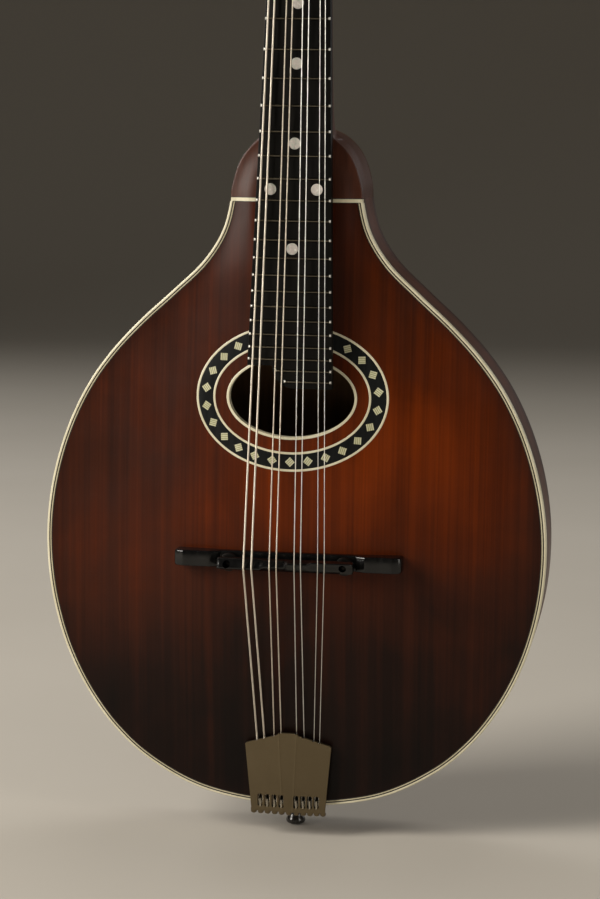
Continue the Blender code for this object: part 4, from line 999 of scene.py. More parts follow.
def full_row(face, x, d, rf):
    """One loft row: face points left to right, then right side, back, left side."""
    xs, ds = x.copy(), d.copy()
    return (np.r_[face[0], xs, -xs[::-1][1:]], np.r_[face[1], ds, ds[::-1][1:]])


rows = []


def neck_row(z, tenon=False):
    if tenon:
        w, hi, lo = 11.0, -4.4, -32.6
        fx = np.r_[np.full(N_SHO, -w), np.linspace(-w, w, N_MID), np.full(N_SHO, w)]
        fh = np.full(len(fx), hi)
        t = np.linspace(0, 1, N_SIDE)
        hx = np.r_[np.full(N_SIDE, w), w * (1 - np.linspace(0, 1, N_BOT + 1)[1:])]
        hh = np.r_[hi + (lo - hi) * t, np.full(N_BOT, lo)]
        x, h = full_row((fx, fh), hx, hh, 0)
        rows.append(P(x, h, np.full(len(x), z)))
        return
    bh = board_half(z) - 0.12
    face_h = board_under(z) - 0.05
    wd = dome(z)
    low = float(np.interp(z, LOWC[:, 0], LOWC[:, 1]))
    wt = float(smax(np.array(bh), np.array(wd), 1.4 * min(1, wd / 3.0))) if wd > 0 else bh
    shoulder = wt - bh
    rf = 0.9 * min(1.0, max(0.0, shoulder) / 1.5)
    xs = np.linspace(bh, wt, N_SHO - 4)
    a = np.radians([22, 45, 68, 90])
    if shoulder > 0.02:
        edge = heel_top(np.array(wt), np.array(z)) if z < 34 else 0.0
        tops = heel_top(xs, np.full_like(xs, z)) if z < 34 else np.zeros_like(xs)
        tops = np.maximum(tops, 0.0)
        if rf > 0:
            xs = np.linspace(bh, wt - rf, N_SHO - 4)
            tops = np.maximum(heel_top(xs, np.full_like(xs, z)), 0.0)
        h_edge = float(tops[-1])
        xs = np.r_[xs, wt - rf * (1 - np.sin(a))]
        tops = np.r_[tops, h_edge - rf * (1 - np.cos(a))]
        f = min(1.0, shoulder / 1.2)
        tops = tops * f + face_h * (1 - f)
    else:
        xs = np.full(N_SHO, wt)
        tops = np.full(N_SHO, face_h)
    start = float(tops[-1])
    m = 0.0
    x, d = half_section(bh, lambda q: np.array([dome(z - 2.5 * float(ease(v / 13.0)) * float(ease(z / 9.0)))
                                                for v in q]), start - low, m, 1.4, 1.4)
    x[0] = wt
    face_x = np.r_[-xs[::-1], np.linspace(-bh, bh, N_MID), xs]
    face_t = np.r_[tops[::-1], np.full(N_MID, face_h), tops]
    px, ph = full_row((face_x, face_t), x, start + d, 0)
    rows.append(P(px, ph, np.full(len(px), z)))


neck_row(-29.8, True)
neck_row(1.16, True)
for z in np.r_[1.16, np.linspace(1.6, 26, 32), 34.19 - 8.2 * (1 - np.linspace(0.04, 0.9999, 34)) ** 2,
               np.linspace(34.3, 37, 22), np.linspace(37.4, 60, 46), np.linspace(61.5, 158, 50)]:
    neck_row(float(z))


def head_half(u):
    c = spline(HEAD_HALF, 8)
    return float(np.interp(u, c[:, 0], c[:, 1]))


def back_row(h0, z0, tilt, w, depth, m, rb, face_drop=0.0):
    """Row of the upper neck or the headstock, in a tilted plane."""
    x, d = half_section(w, 0.0, depth, m, rb, 0)
    n = np.clip(m, 0, 1)
    bx = x.copy()
    if m > 0.5:
        bx = x
    fx = np.r_[np.full(N_SHO, -w), np.linspace(-w, w, N_MID), np.full(N_SHO, w)]
    fd = np.zeros(len(fx))
    px, pd = full_row((fx, fd), bx, d, 0)
    pd = pd - face_drop
    rows.append(P(px, h0 + pd * math.cos(tilt), z0 + pd * math.sin(tilt)))


for t in np.linspace(0, 1, 10)[1:]:
    z = 158 + 11 * t
    back_row(board_under(z) - 0.05, z, math.radians(4.5) * ease(t), board_half(z) - 0.12,
             (board_under(158.0) - 0.05 + 23.0) * (1 - t) + 13.5 * t, 0.0, 0.5)
for t in np.linspace(0, 1, 10)[1:]:
    z = 169 + (HEAD_Z - 169) * t
    back_row(board_under(z) - 0.05 - 0.25 * t, z, math.radians(4.5 + 8.5 * t),
             board_half(169.0) * (1 - t) + 13.9 * t, 13.5 - 0.6 * t, 0.15 * ease(t), 0.5 + t)
for u in np.r_[np.linspace(0.8, 12, 12), np.linspace(13, 143.2, 100)]:
    tilt = math.radians(13.0) + (HEAD_TILT - math.radians(13.0)) * float(ease(u / 8.0))
    m = 0.15 + 0.85 * float(ease(u / 14.0))
    back_row(HEAD_H0 - u * SN, HEAD_Z + u * CN, tilt, head_half(u), 12.9 - 0.9 * float(ease(u / 8.0)),
             m, 1.5)
neck_ob = piece("neck_carved", Shape().grid(np.array(rows), cv=True, caps=True), NECK_FIN,
                instead=("neck",), slot="neck_finish", angle=48)
holes = Shape()
for sx in (-1, 1):
    for u in POST_U:
        turned([(3.6, -20), (3.6, 6)], 28, HEAD @ Matrix.Translation((sx * POST_X * MM, u * MM, 0)),
               holes)


def board_plane(dn):
    return lambda x, z: P(x, board_under(z) - dn, z)


channel = prism([(-2.9, 14.0), (2.9, 14.0), (2.9, 172.0), (-2.9, 172.0)], board_plane(-2.0),
                board_plane(8.6))
pocket = prism(round_poly([(-4.2, -7.6), (4.2, -7.6), (4.2, 20.0), (0.0, 24.0), (-4.2, 20.0)], 1.0),
               lambda x, u: H(x, u, 2.0), lambda x, u: H(x, u, -7.0))
cut(neck_ob, [holes, channel, pocket], 48)

# ---------------------------------------------------------------- fingerboard
step = spline([(-8.6, -80.6), (-8.3, -83.0), (-7.0, -86.1), (-4.8, -88.6), (-2.2, -90.4), (0.6, -91.5)],
              6)
outline = [(-NUT_HALF, SCALE / 2 - 0.12), (-board_half(-80.6), -80.6)] + \
    [tuple(p) for p in step] + [(2.2, -91.6), (board_half(-91.6), -91.6),
                                (NUT_HALF, SCALE / 2 - 0.12)]
board = piece("ebony_fingerboard", prism(outline, lambda x, z: P(x, board_top(z), z),
                                         lambda x, z: P(x, board_under(z), z)), BOARD_FIN,
              instead=("fretboard",), slot="ebony", angle=30)
DOTS = [(0, 129.0), (0, 95.2), (0, 66.1), (0, 27.5), (-11.5, 5.3), (11.5, 5.3), (0, -23.6)]
dots, dot_cut = Shape(), Shape()
for x, z in DOTS:
    f = at_body(x, float(board_top(z)), z) @ Matrix.Rotation(PITCH, 4, "X")
    turned([(2.88, -1.0), (2.88, -0.02), (2.80, 0.03), (1.6, 0.06), (0.0001, 0.07)], 40, f, dots)
    turned([(2.93, -1.02), (2.93, 2.0)], 40, f, dot_cut)
soften(board, 0.28, 2, 50)
cut(board, [dot_cut], 34)
piece("pearl_dots", dots, PEARL, slot="ivoroid", angle=30)

frets = Shape()
prof = [(-0.68, 0.0), (-0.66, 0.18), (-0.58, 0.45), (-0.42, 0.70), (-0.22, 0.88), (0.0, 0.94),
        (0.22, 0.88), (0.42, 0.70), (0.58, 0.45), (0.66, 0.18), (0.68, 0.0)]
for n in range(1, FRETS + 1):
    zf = SCALE * 2 ** (-n / 12) - SCALE / 2
    right = float(board_half(zf)) - 0.12
    left = -right
    if n == 23:
        left = -7.3
    if n == 24:
        left = -2.6
    rows_f = []
    for x, s in ((left, 0.02), (left + 0.04, 0.30), (left + 0.80, 0.93), (left + 1.0, 1.0),
                 (0.5 * (left + right), 1.0), (right - 1.0, 1.0), (right - 0.85, 0.95),
                 (right - 0.06, 0.30), (right, 0.02)):
        rows_f.append(np.array([P(x, board_top(zf) + 0.01 + h * s - dz * TP, zf + dz)
                                for dz, h in prof]))
    frets.grid(np.array(rows_f), cv=True, caps=True)
fret_ob = piece("fret_wires", frets, FRET_FIN, instead=("fret_set",), slot="fret_wire", angle=60)
x, h, z = drawing_of(fret_ob)
number = np.round(12 * np.log2(SCALE / (z + SCALE / 2)))
right = board_half(SCALE * 2 ** (-number / 12) - SCALE / 2) - 0.12
left = np.where(number == 23, -7.3, np.where(number == 24, -2.6, -right))
# tip marks the fret ends that carry the painted highlight
give(fret_ob, "tip", np.where(np.minimum(right - x, x - left) < 0.95, 1.0, 0.0))

# ---------------------------------------------------------------- nut
NUT_TOP = FRET_TOP - (SCALE / 2) * TP + 0.35
xs = np.linspace(-13.85, 13.85, 281)
ss = np.array([0.06, 0.09, 0.2, 0.5, 1.0, 1.6, 2.2, 2.7, 2.95, 3.05, 3.08])
nut_rows = []
for s in ss:
    top = np.full_like(xs, NUT_TOP - 0.02 - 0.16 * s)
    top -= 0.35 * (1 - np.clip(min(s - 0.06, 3.08 - s) / 0.35, 0, 1)) ** 2
    d = 13.85 - np.abs(xs)
    top -= np.where(d < 0.8, 0.8 - np.sqrt(np.maximum(0, 0.64 - (0.8 - d) ** 2)), 0)
    for x0, r in zip(NUT_X, STRING_R):
        hn = NUT_TOP + 0.32 + r - 0.30 - 0.11 * s
        g = (xs - x0) / (r * 1.25)
        bottom = hn - r - 0.02 + (1 - np.sqrt(np.maximum(0, 1 - g * g))) * r
        top = np.where(np.abs(g) < 1, np.minimum(top, np.maximum(bottom, top - 0.5)), top)
    nut_rows.append(P(xs, top, SCALE / 2 + s))
low = [P(xs, board_under(SCALE / 2 + s) - 0.02, SCALE / 2 + s) for s in ss[::-1]]
nutS = Shape().grid(np.array(nut_rows + low), cu=True)
for e in (0, -1):
    ringv = np.array([r[e] for r in nut_rows + low])
    nutS.v.append(ringv)
    nutS.f.append(list(range(nutS.n, nutS.n + len(ringv))))
    nutS.m.append(0)
    nutS.n += len(ringv)
piece("bone_nut", nutS, BONE, instead=("nut",), slot="bone", angle=50)

# ---------------------------------------------------------------- headstock face
def head_outline(inset, u0, u1, n=70):
    us = np.r_[np.linspace(u0, u1 - 8, n), np.linspace(u1 - 8, u1, 26)[1:]]
    w = np.array([head_half(u) for u in us]) - inset
    w[-1] = max(w[-1], 0.6)
    right = list(zip(w, us))
    return [(-a, b) for a, b in right] + right[::-1]


FRONT = GAP + OVERLAY_T
over = piece("headstock_face", prism(head_outline(0.0, 0.4, 143.0),
                                     lambda x, u: H(x, u, FRONT), lambda x, u: H(x, u, 0.06)),
             OVERLAY_FIN, instead=("headstock_overlay",), slot="black_overlay", angle=35)
holes2 = Shape()
for sx in (-1, 1):
    for u in POST_U:
        turned([(3.6, -2), (3.6, 6)], 28, HEAD @ Matrix.Translation((sx * POST_X * MM, u * MM, 0)),
               holes2)
pocket2 = prism(round_poly([(-4.2, -0.9), (4.2, -0.9), (4.2, 20.0), (0.0, 24.0), (-4.2, 20.0)], 1.0),
                lambda x, u: H(x, u, 5.0), lambda x, u: H(x, u, -2.0))
soften(over, 0.35, 2, 50)
cut(over, [holes2, pocket2], 35)
bell = spline([(7.4, 2.4), (8.5, 5.0), (8.7, 9.0), (8.0, 14.5), (6.0, 19.5), (3.8, 24.0), (2.2, 27.5),
               (0.9, 29.4), (0.0, 29.8)], 5)
cover_line = [tuple(p) for p in bell] + [(-x, u) for x, u in bell[::-1][1:]]
cover = piece("rod_cover", prism(cover_line, lambda x, u: H(x, u, FRONT + 1.9),
                                 lambda x, u: H(x, u, FRONT + 0.08)), OVERLAY_FIN,
              instead=("truss_rod_cover",), slot="black_overlay", angle=35)
soften(cover, 0.4, 3, 50)
SCREWS = Shape()


def screw(frame4, r, seg=20, slot_w=0.35, spin=0.3):
    """Domed slotted screw head; the slot is a black bar laid over the dome, painted shade standing in for
    the recess.
    """
    a = 2 * PI * np.arange(seg) / seg
    prof = [(r, -0.1), (r, 0.12), (r * 0.93, 0.32), (r * 0.72, 0.50), (r * 0.4, 0.60)]
    pts = ring_pts(prof + [(0.0001, 0.62)], seg)
    SCREWS.grid(apply(frame4 @ Matrix.Rotation(spin, 4, "Z"), pts), cv=True, caps=True)
    m = frame4 @ Matrix.Rotation(spin, 4, "Z")
    # black bar in the second material: painted shade where the slot's recess would be
    box(SCREWS, (-r * 0.9, -slot_w / 2, 0.42), (r * 0.9, slot_w / 2, 0.645), m, mat=1)


for x, u in ((0.0, 25.6), (-5.6, 5.4), (5.6, 5.4)):
    screw(HEAD @ Matrix.Translation((x * MM, u * MM, (FRONT + 1.9) * MM)), 1.35, spin=x + 0.4)

# ---------------------------------------------------------------- tuning machines
def gear(shape, matrix):
    root, tip = GEAR_R - 0.65, GEAR_R + 0.42
    outline_g = []
    for k in range(TEETH):
        a = 2 * PI * k / TEETH
        b = PI / TEETH
        outline_g += [(root, a - b * 0.62), (root + 0.15, a - b * 0.50), (tip - 0.12, a - 0.36 / tip),
                      (tip, a - 0.22 / tip), (tip, a + 0.22 / tip), (tip - 0.12, a + 0.36 / tip),
                      (root + 0.15, a + b * 0.50), (root, a + b * 0.62)]
    og = np.array(outline_g)
    twist = math.atan(WORM_PITCH / (2 * PI * WORM_R))
    levels = []
    hub = 1.5
    for s, inset in ((-GEAR_T / 2, 0.35), (-GEAR_T / 2 + 0.3, 0.0), (GEAR_T / 2 - 0.3, 0.0),
                     (GEAR_T / 2, 0.35)):
        da = s * math.tan(twist) / GEAR_R
        r = og[:, 0] - inset * (og[:, 0] > root + 0.2)
        levels.append(np.stack([-r * np.sin(og[:, 1] + da), r * np.cos(og[:, 1] + da),
                                np.full(len(og), WORM_N + s)], -1))
    shape.grid(apply(matrix, np.array(levels)), cv=True, caps=True)


def post_mesh(matrix):
    s = Shape()
    # shaft under the headstock, through it, and the string post in front
    turned([(2.2, WORM_N - 1.6), (2.85, WORM_N + 1.45), (2.85, 2.3), (2.9, 2.6), (2.9, 4.4), (2.82, 4.6),
            (2.52, 4.9), (2.42, 5.3), (2.40, 6.6), (2.42, 8.0), (2.6, 8.4), (2.86, 8.7), (2.9, 8.9),
            (2.9, 10.7), (2.8, 11.0), (2.5, 11.2), (1.9, 11.3), (0.9, 11.1), (0.0001, 11.05)], 36,
           matrix, s)
    gear(s, matrix)
    turned([(2.7, WORM_N - 1.5), (2.7, WORM_N - 1.9), (2.45, WORM_N - 2.25), (1.7, WORM_N - 2.38),
            (0.0001, WORM_N - 2.4)], 28, matrix, s)
    return s


def worm_shape(sx, matrix):
    s = Shape()
    fr = matrix @ Matrix(((0, 0, sx, 0), (0, 1, 0, 0), (-sx, 0, 0, 0), (0, 0, 0, 1)))

    def o(v):
        return v - POST_X
    turned([(1.3, o(13.1)), (1.5, o(13.25)), (1.5, o(15.4)), (1.55, o(15.5)), (1.55, o(22.5)),
            (1.5, o(22.6)), (1.5, o(34.6)), (1.5, o(45.0))], 24, fr, s)
    turned([(1.5, o(24.15)), (2.1, o(24.15)), (2.1, o(24.8)), (1.5, o(24.9))], 24, fr, s)
    seg, turns = 28, 2.0
    steps = int(seg * turns)
    rows_w = []
    for i in range(steps + 1):
        psi = 2 * PI * (i / seg - turns / 2 - 0.5)
        x = WORM_PITCH * (psi / (2 * PI) + 0.5)
        end = min(i, steps - i) / 6.0
        crest = 1.45 + (2.66 - 1.45) * float(ease(end))
        prof_w = [(-0.42, 1.2), (-0.36, 1.2 + (crest - 1.2) * 0.5), (-0.2, crest - 0.06),
                  (-0.12, crest), (0.12, crest), (0.2, crest - 0.06),
                  (0.36, 1.2 + (crest - 1.2) * 0.5), (0.42, 1.2)]
        rows_w.append([(x + dx, -r * math.cos(psi), -r * math.sin(psi)) for dx, r in prof_w])
    s.grid(apply(matrix, np.array(rows_w)), cv=True, caps=True)
    return s


def button_shape(sx, matrix):
    s = Shape()
    seg = 40
    st = spline([(0.0, 2.2, 2.2), (0.25, 2.55, 2.5), (1.2, 2.7, 2.6), (2.0, 4.0, 3.0), (2.8, 5.7, 3.5),
                 (4.2, 7.0, 3.9), (5.8, 7.45, 4.05), (7.6, 7.35, 4.0), (9.4, 6.4, 3.6),
                 (10.8, 4.6, 2.75), (11.5, 2.4, 1.6), (11.75, 0.6, 0.5)], 5)
    a = 2 * PI * np.arange(seg) / seg
    ca, sa = np.cos(a), np.sin(a)
    e = 0.86
    ca = np.sign(ca) * np.abs(ca) ** e
    sa = np.sign(sa) * np.abs(sa) ** e
    rows_b = [[(sx * (35.6 - POST_X + q[0]), q[1] * c, q[2] * d) for c, d in zip(ca, sa)] for q in st]
    s.grid(apply(matrix, np.array(rows_b)), cv=True, caps=True)
    return s


def bore_shape(sx, matrix):
    s = Shape()
    fr = matrix @ Matrix(((0, 0, sx, 0), (0, 1, 0, 0), (-sx, 0, 0, 0), (0, 0, 0, 1)))
    turned([(1.62, 30.0 - POST_X), (1.62, 45.2 - POST_X)], 24, fr, s)
    return s


POSTS = [(-1, POST_U[0]), (-1, POST_U[1]), (-1, POST_U[2]), (-1, POST_U[3]),
         (1, POST_U[3]), (1, POST_U[2]), (1, POST_U[1]), (1, POST_U[0])]
for i, (sx, u) in enumerate(POSTS, 1):
    mp = HEAD @ Matrix.Translation((sx * POST_X * MM, u * MM, 0))
    lead = math.atan2((POST_X - 3.0) - abs(NUT_X[i - 1]), u + 4.0)
    post = piece("post_%d_visual" % i, post_mesh(mp), NICKEL, body="post_%d" % i,
                 instead=("tuner_post_%d" % i,), slot="nickel", angle=40)
    hole = Shape()
    fr = mp @ Matrix.Translation((0, 0, 6.6 * MM)) @ Matrix.Rotation(0.25 * sx, 4, "Z") \
        @ Matrix.Rotation(PI / 2, 4, "X")
    turned([(0.62, -4), (0.62, 4)], 16, fr, hole)
    cut(post, [hole], 40)
    mw = HEAD @ Matrix.Translation((sx * POST_X * MM, (u + CENTRES) * MM, WORM_N * MM))
    piece("worm_%d_visual" % i, worm_shape(sx, mw), NICKEL, body="worm_%d" % i,
          instead=("tuner_worm_%d" % i,), slot="nickel", angle=40)
    btn = piece("button_%d_visual" % i, button_shape(sx, mw), BUTTON, body="worm_%d" % i,
                instead=("tuner_button_%d" % i,), slot="button", angle=50)
    cut(btn, [bore_shape(sx, mw)], 50)

# a bushing is a tube: its profile closes on itself
bush = Shape()
for i, (sx, u) in enumerate(POSTS, 1):
    mp = HEAD @ Matrix.Translation((sx * POST_X * MM, u * MM, 0))
    prof_b = [(3.08, -1.0), (3.5, -1.0), (3.5, FRONT + 0.03), (4.9, FRONT + 0.03), (5.0, FRONT + 0.22),
              (4.92, FRONT + 0.6), (4.45, FRONT + 0.92), (3.9, FRONT + 1.02), (3.4, FRONT + 0.98),
              (3.08, FRONT + 0.75)]
    bush.grid(apply(mp, ring_pts(prof_b, 36)), cu=True, cv=True)
piece("post_bushings", bush, NICKEL, slot="nickel", angle=40)

for nm, sx in (("bass", -1), ("treble", 1)):
    xa, xb = 12.4, 25.6
    xm = (xa + xb) / 2
    outl = []
    # plate with scalloped waists between the machines and rounded ends
    side = []
    for u in np.linspace(33.6, 126.4, 94):
        wst = 0.0
        for uc in (54.5, 77.5, 100.5):
            wst += 1.1 * math.exp(-((u - uc) / 3.2) ** 2)
        endd = min(u - 33.0, 127.0 - u)
        wst += 2.6 * (1 - math.sqrt(max(0.0, 1 - (1 - min(1.0, endd / 4.0)) ** 2)))
        side.append((6.6 - wst, u))
    outl = [(sx * xm + w, u) for w, u in side] + [(sx * xm - w, u) for w, u in side[::-1]]
    plate = piece("tuner_plate_" + nm + "_visual",
                  prism(outl, lambda x, u: H(x, u, PLATE_N0 - 0.02),
                        lambda x, u: H(x, u, PLATE_N0 - PLATE_T)), NICKEL,
                  instead=("tuner_plate_" + nm,), slot="nickel", angle=35)
    hs = Shape()
    for u in POST_U:
        turned([(3.5, PLATE_N0 - PLATE_T - 2), (3.5, PLATE_N0 + 2)], 28,
               HEAD @ Matrix.Translation((sx * POST_X * MM, u * MM, 0)), hs)
    soften(plate, 0.22, 2, 50)
    cut(plate, [hs], 35)
    ears = Shape()
    for u in POST_U:
        for x0, x1 in ((14.0, 15.2), (22.8, 24.0)):
            top_n, c_n = PLATE_N0 - PLATE_T + 0.3, WORM_N
            ear = [(u + CENTRES - 3.3, top_n), (u + CENTRES - 2.8, WORM_N + 0.6)] + \
                  arc(u + CENTRES, WORM_N, 2.85, 180, 360, 15) + \
                  [(u + CENTRES + 2.8, WORM_N + 0.6), (u + CENTRES + 3.3, top_n)]
            ear = np.array(ear)
            hole_r = [(u + CENTRES + 1.62 * math.cos(t), WORM_N + 1.62 * math.sin(t))
                      for t in np.linspace(0, 2 * PI, 29)[:-1]]
            # ear as a ring: outer outline matched with the bore
            m_o = resample(np.vstack([ear, ear[:1]]), 57)[:-1]
            ang = np.arctan2(m_o[:, 1] - WORM_N, m_o[:, 0] - (u + CENTRES))
            m_i = np.stack([u + CENTRES + 1.62 * np.cos(ang), WORM_N + 1.62 * np.sin(ang)], 1)
            lay = []
            for x, q, g in ((x0, m_i, 0), (x0, m_o, 0), (x1, m_o, 0), (x1, m_i, 0)):
                lay.append(H(np.full(len(q), sx * x), q[:, 0], q[:, 1]))
            ears.grid(np.array(lay), cu=True, cv=True)
    ear_ob = piece("tuner_ears_" + nm, ears, NICKEL, slot="nickel", angle=40)
    for u in (35.8, 54.5, 77.5, 100.5, 124.2):
        screw(HEAD @ Matrix.Translation((sx * xm * MM, u * MM, (PLATE_N0 - PLATE_T) * MM))
              @ Matrix.Rotation(PI, 4, "X"), 1.75, spin=u)

# ---------------------------------------------------------------- bridge
STUD_X, BASE_TOP, SADDLE_Z = 28.9, 14.3, -178.7


def base_top(x):
    """Wings with a short ramp up, a level top with a slight dip and a ramp down."""
    a = np.abs(x)
    step = BASE_TOP + 1.3 * ease((a - 34.1) / 0.5)
    ramp = BASE_TOP + 1.3 + 2.1 * (a - 34.6) / 4.4
    tip = BASE_TOP + 1.4 + 2.0 * (57.0 - a) / 4.6
    level = BASE_TOP + 3.4 - 0.25 * ease(1 - np.abs(a - 45.7) / 6.0)
    k = 0.12
    top = level - 0.5 * (np.sqrt((level - ramp) ** 2 + k * k) + level - ramp)
    top = top - 0.5 * (np.sqrt((top - tip) ** 2 + k * k) + top - tip)
    return np.where(a <= 34.6, step, top)


def bridge():
    xs = np.unique(np.r_[np.linspace(-57, -33.5, 90), np.linspace(-33, 33, 80),
                         np.linspace(33.5, 57, 90)])
    zc = -177.6
    rows_b = []
    for x in xs:
        a = abs(x)
        end = math.sqrt(max(0.0, 1 - max(0.0, (a - 55.2) / 1.8) ** 2))
        hw = 4.0 * (0.80 + 0.20 * end) if a > 55.2 else 4.0
        top = float(base_top(np.array([x]))[0]) - 0.9 * (1 - end)
        r = 0.9
        sec = []
        zs = [-hw, -hw]
        under = lambda z: float(top_h(x, zc + z)) + 0.03
        sec.append((-hw, under(-hw)))
        sec.append((-hw, (under(-hw) + top - r) / 2))
        for t in np.radians([0, 22, 45, 68, 90]):
            sec.append((-hw + r * (1 - math.cos(t)), top - r * (1 - math.sin(t))))
        sec.append((0.0, top + 0.04))
        for t in np.radians([90, 68, 45, 22, 0]):
            sec.append((hw - r * (1 - math.cos(t)), top - r * (1 - math.sin(t))))
        sec.append((hw, (under(hw) + top - r) / 2))
        sec.append((hw, under(hw)))
        for z in (hw * 0.5, 0.0, -hw * 0.5):
            sec.append((z, under(z)))
        rows_b.append([P(x, h, zc + z) for z, h in sec])
    return piece("bridge_foot", Shape().grid(np.array(rows_b), cv=True, caps=True), BRIDGE_FIN,
                 instead=("bridge_base",), slot="ebony", angle=38)


bridge()
studs = Shape()
for sx in (-1, 1):
    f = at_body(sx * STUD_X, BASE_TOP - 1.0, SADDLE_Z)
    prof_s = [(1.15, 0.0)]
    s = 0.0
    while s < 7.6:
        prof_s += [(1.48, s + 0.2), (1.48, s + 0.3), (1.22, s + 0.5), (1.22, s + 0.6)]
        s += 0.8
    prof_s += [(1.2, 8.1), (0.8, 8.3), (0.0001, 8.3)]
    turned(prof_s, 24, f, studs)
    turned([(2.6, 0.96), (2.6, 1.12), (2.3, 1.22), (1.5, 1.22)], 28, f, studs)
piece("bridge_studs", studs, BLACK_MET, slot="black_metal", angle=30)

SADDLE_BOT, SADDLE_TOP = 18.3, 25.5


RIDGE = ([-18.0, -5.3, 6.9, 18.6], [-1.4, -0.3, 1.0, 2.0])


def saddle():
    f = at_body(0, SADDLE_BOT, SADDLE_Z)
    xs = np.unique(np.round(np.r_[np.linspace(-34, 34, 260), np.linspace(-34, -32, 12),
                                  np.linspace(32, 34, 12)], 3))
    # the ridge steps across the saddle so that every pair plays in tune
    comp = [(-34, -1.5), (-12.2, -1.5), (-10.6, -0.4), (-0.2, -0.4), (1.6, 1.0), (11.6, 1.0),
            (13.4, 2.0), (34, 2.0)]
    cx, cy = zip(*comp)
    rows_s = []
    for x in xs:
        a = abs(x)
        e = float(np.clip((34.0 - a) / 2.0, 0, 1))
        rnd = 1 - math.sqrt(max(0.0, 1 - (1 - e) ** 2))
        lift = 2.6 * float(ease((20.0 - a) / 12.0))
        top = SADDLE_TOP - SADDLE_BOT - 0.012 * (x / 10) ** 2 - 1.5 * rnd
        for x0, r in zip(BRIDGE_X, STRING_R):
            g = (x - x0) / (r * 1.35)
            if abs(g) < 1:
                top -= 0.16 * math.sqrt(1 - g * g)
        hw = 3.1 - 0.9 * rnd
        c = float(np.clip(np.interp(x, cx, cy), -hw + 1.2, hw - 1.0))
        fl = 3.4
        up, dn = min(hw, c + 0.62), max(-hw, c - 0.62)
        k = 0.28
        sec = [(-hw + 0.4, lift), (hw - 0.4, lift), (hw - 0.1, lift + 0.12), (hw, lift + 0.4),
               (hw, fl), (hw - 0.05, fl + 0.2)]
        # neck side: a slope from the top edge of the body to the ridge
        for q in (0.35, 0.7):
            sec.append((hw - 0.05 + (up - hw + 0.05) * q,
                        fl + 0.2 + (top - k - fl - 0.2) * (q ** 0.8)))
        sec += [(up, top - k), (up - 0.22, top - 0.06), (c, top), (dn + 0.22, top - 0.06),
                (dn, top - k)]
        for q in (0.7, 0.35):
            sec.append((-hw + 0.05 + (dn + hw - 0.05) * q,
                        fl + 0.2 + (top - k - fl - 0.2) * (q ** 0.8)))
        sec += [(-hw + 0.05, fl + 0.2), (-hw, fl), (-hw, lift + 0.4), (-hw + 0.1, lift + 0.12)]
        rows_s.append([(x, y, s) for y, s in sec])
    ob = piece("saddle_carved", Shape().grid(apply(f, np.array(rows_s)), cv=True, caps=True),
               BRIDGE_FIN, body="saddle", instead=("bridge_saddle",), slot="ebony", angle=34)
    bores = Shape()
    for sx in (-1, 1):
        turned([(1.85, -2.0), (1.85, 10.0)], 28, at_body(sx * STUD_X, SADDLE_BOT, SADDLE_Z), bores)
    cut(ob, [bores], 34)
    return ob


saddle()
for nm, sx in (("bass", -1), ("treble", 1)):
    f = at_body(sx * STUD_X, 16.3, SADDLE_Z)
    seg = 168
    a = 2 * PI * np.arange(seg) / seg
    rows_k = []
    for r, s, kn in ((1.8, 0.05, 0), (2.6, 0.0, 0), (4.2, 0.02, 0), (4.45, 0.12, 0), (4.62, 0.3, 1),
                     (4.66, 0.5, 1), (4.66, 1.2, 1), (4.62, 1.4, 1), (4.45, 1.58, 0), (4.2, 1.68, 0),
                     (2.6, 1.7, 0), (1.8, 1.65, 0)):
        rr = r - (0.14 * (0.5 - 0.5 * np.cos(a * 42)) if kn else 0 * a)
        rows_k.append(np.stack([rr * np.cos(a), rr * np.sin(a), np.full(seg, s)], -1))
    piece("height_wheel_" + nm, Shape().grid(apply(f, np.array(rows_k)), cu=True, cv=True), BLACK_MET,
          body="wheel_" + nm, instead=("thumbwheel_" + nm,), slot="black_metal", angle=30)

# ---------------------------------------------------------------- tailpiece
TAIL_T, TAIL_END = 1.7, -308.4


def tail_fold(z):
    t = (z + 267.5) / (TAIL_END + 267.5)
    return 4.6 - 2.0 * t


def tail_top(x, z):
    t = (z + 267.5) / (TAIL_END + 267.5)
    a = np.abs(x) - tail_fold(z)
    side = 1.15 * np.maximum(0.0, a) / 17.0
    ridge = 0.10 * np.exp(-(a / 0.38) ** 2)
    return 7.6 - 2.6 * t - side + ridge


def tail_edge(x):
    """Top edge: level middle panel, a small step at each fold, then down to the corners."""
    a = np.abs(x)
    side = -267.75 - np.maximum(0.0, a - 4.6) / 17.4 * 5.25
    return side + 0.95 * ease((5.5 - a) / 0.9)


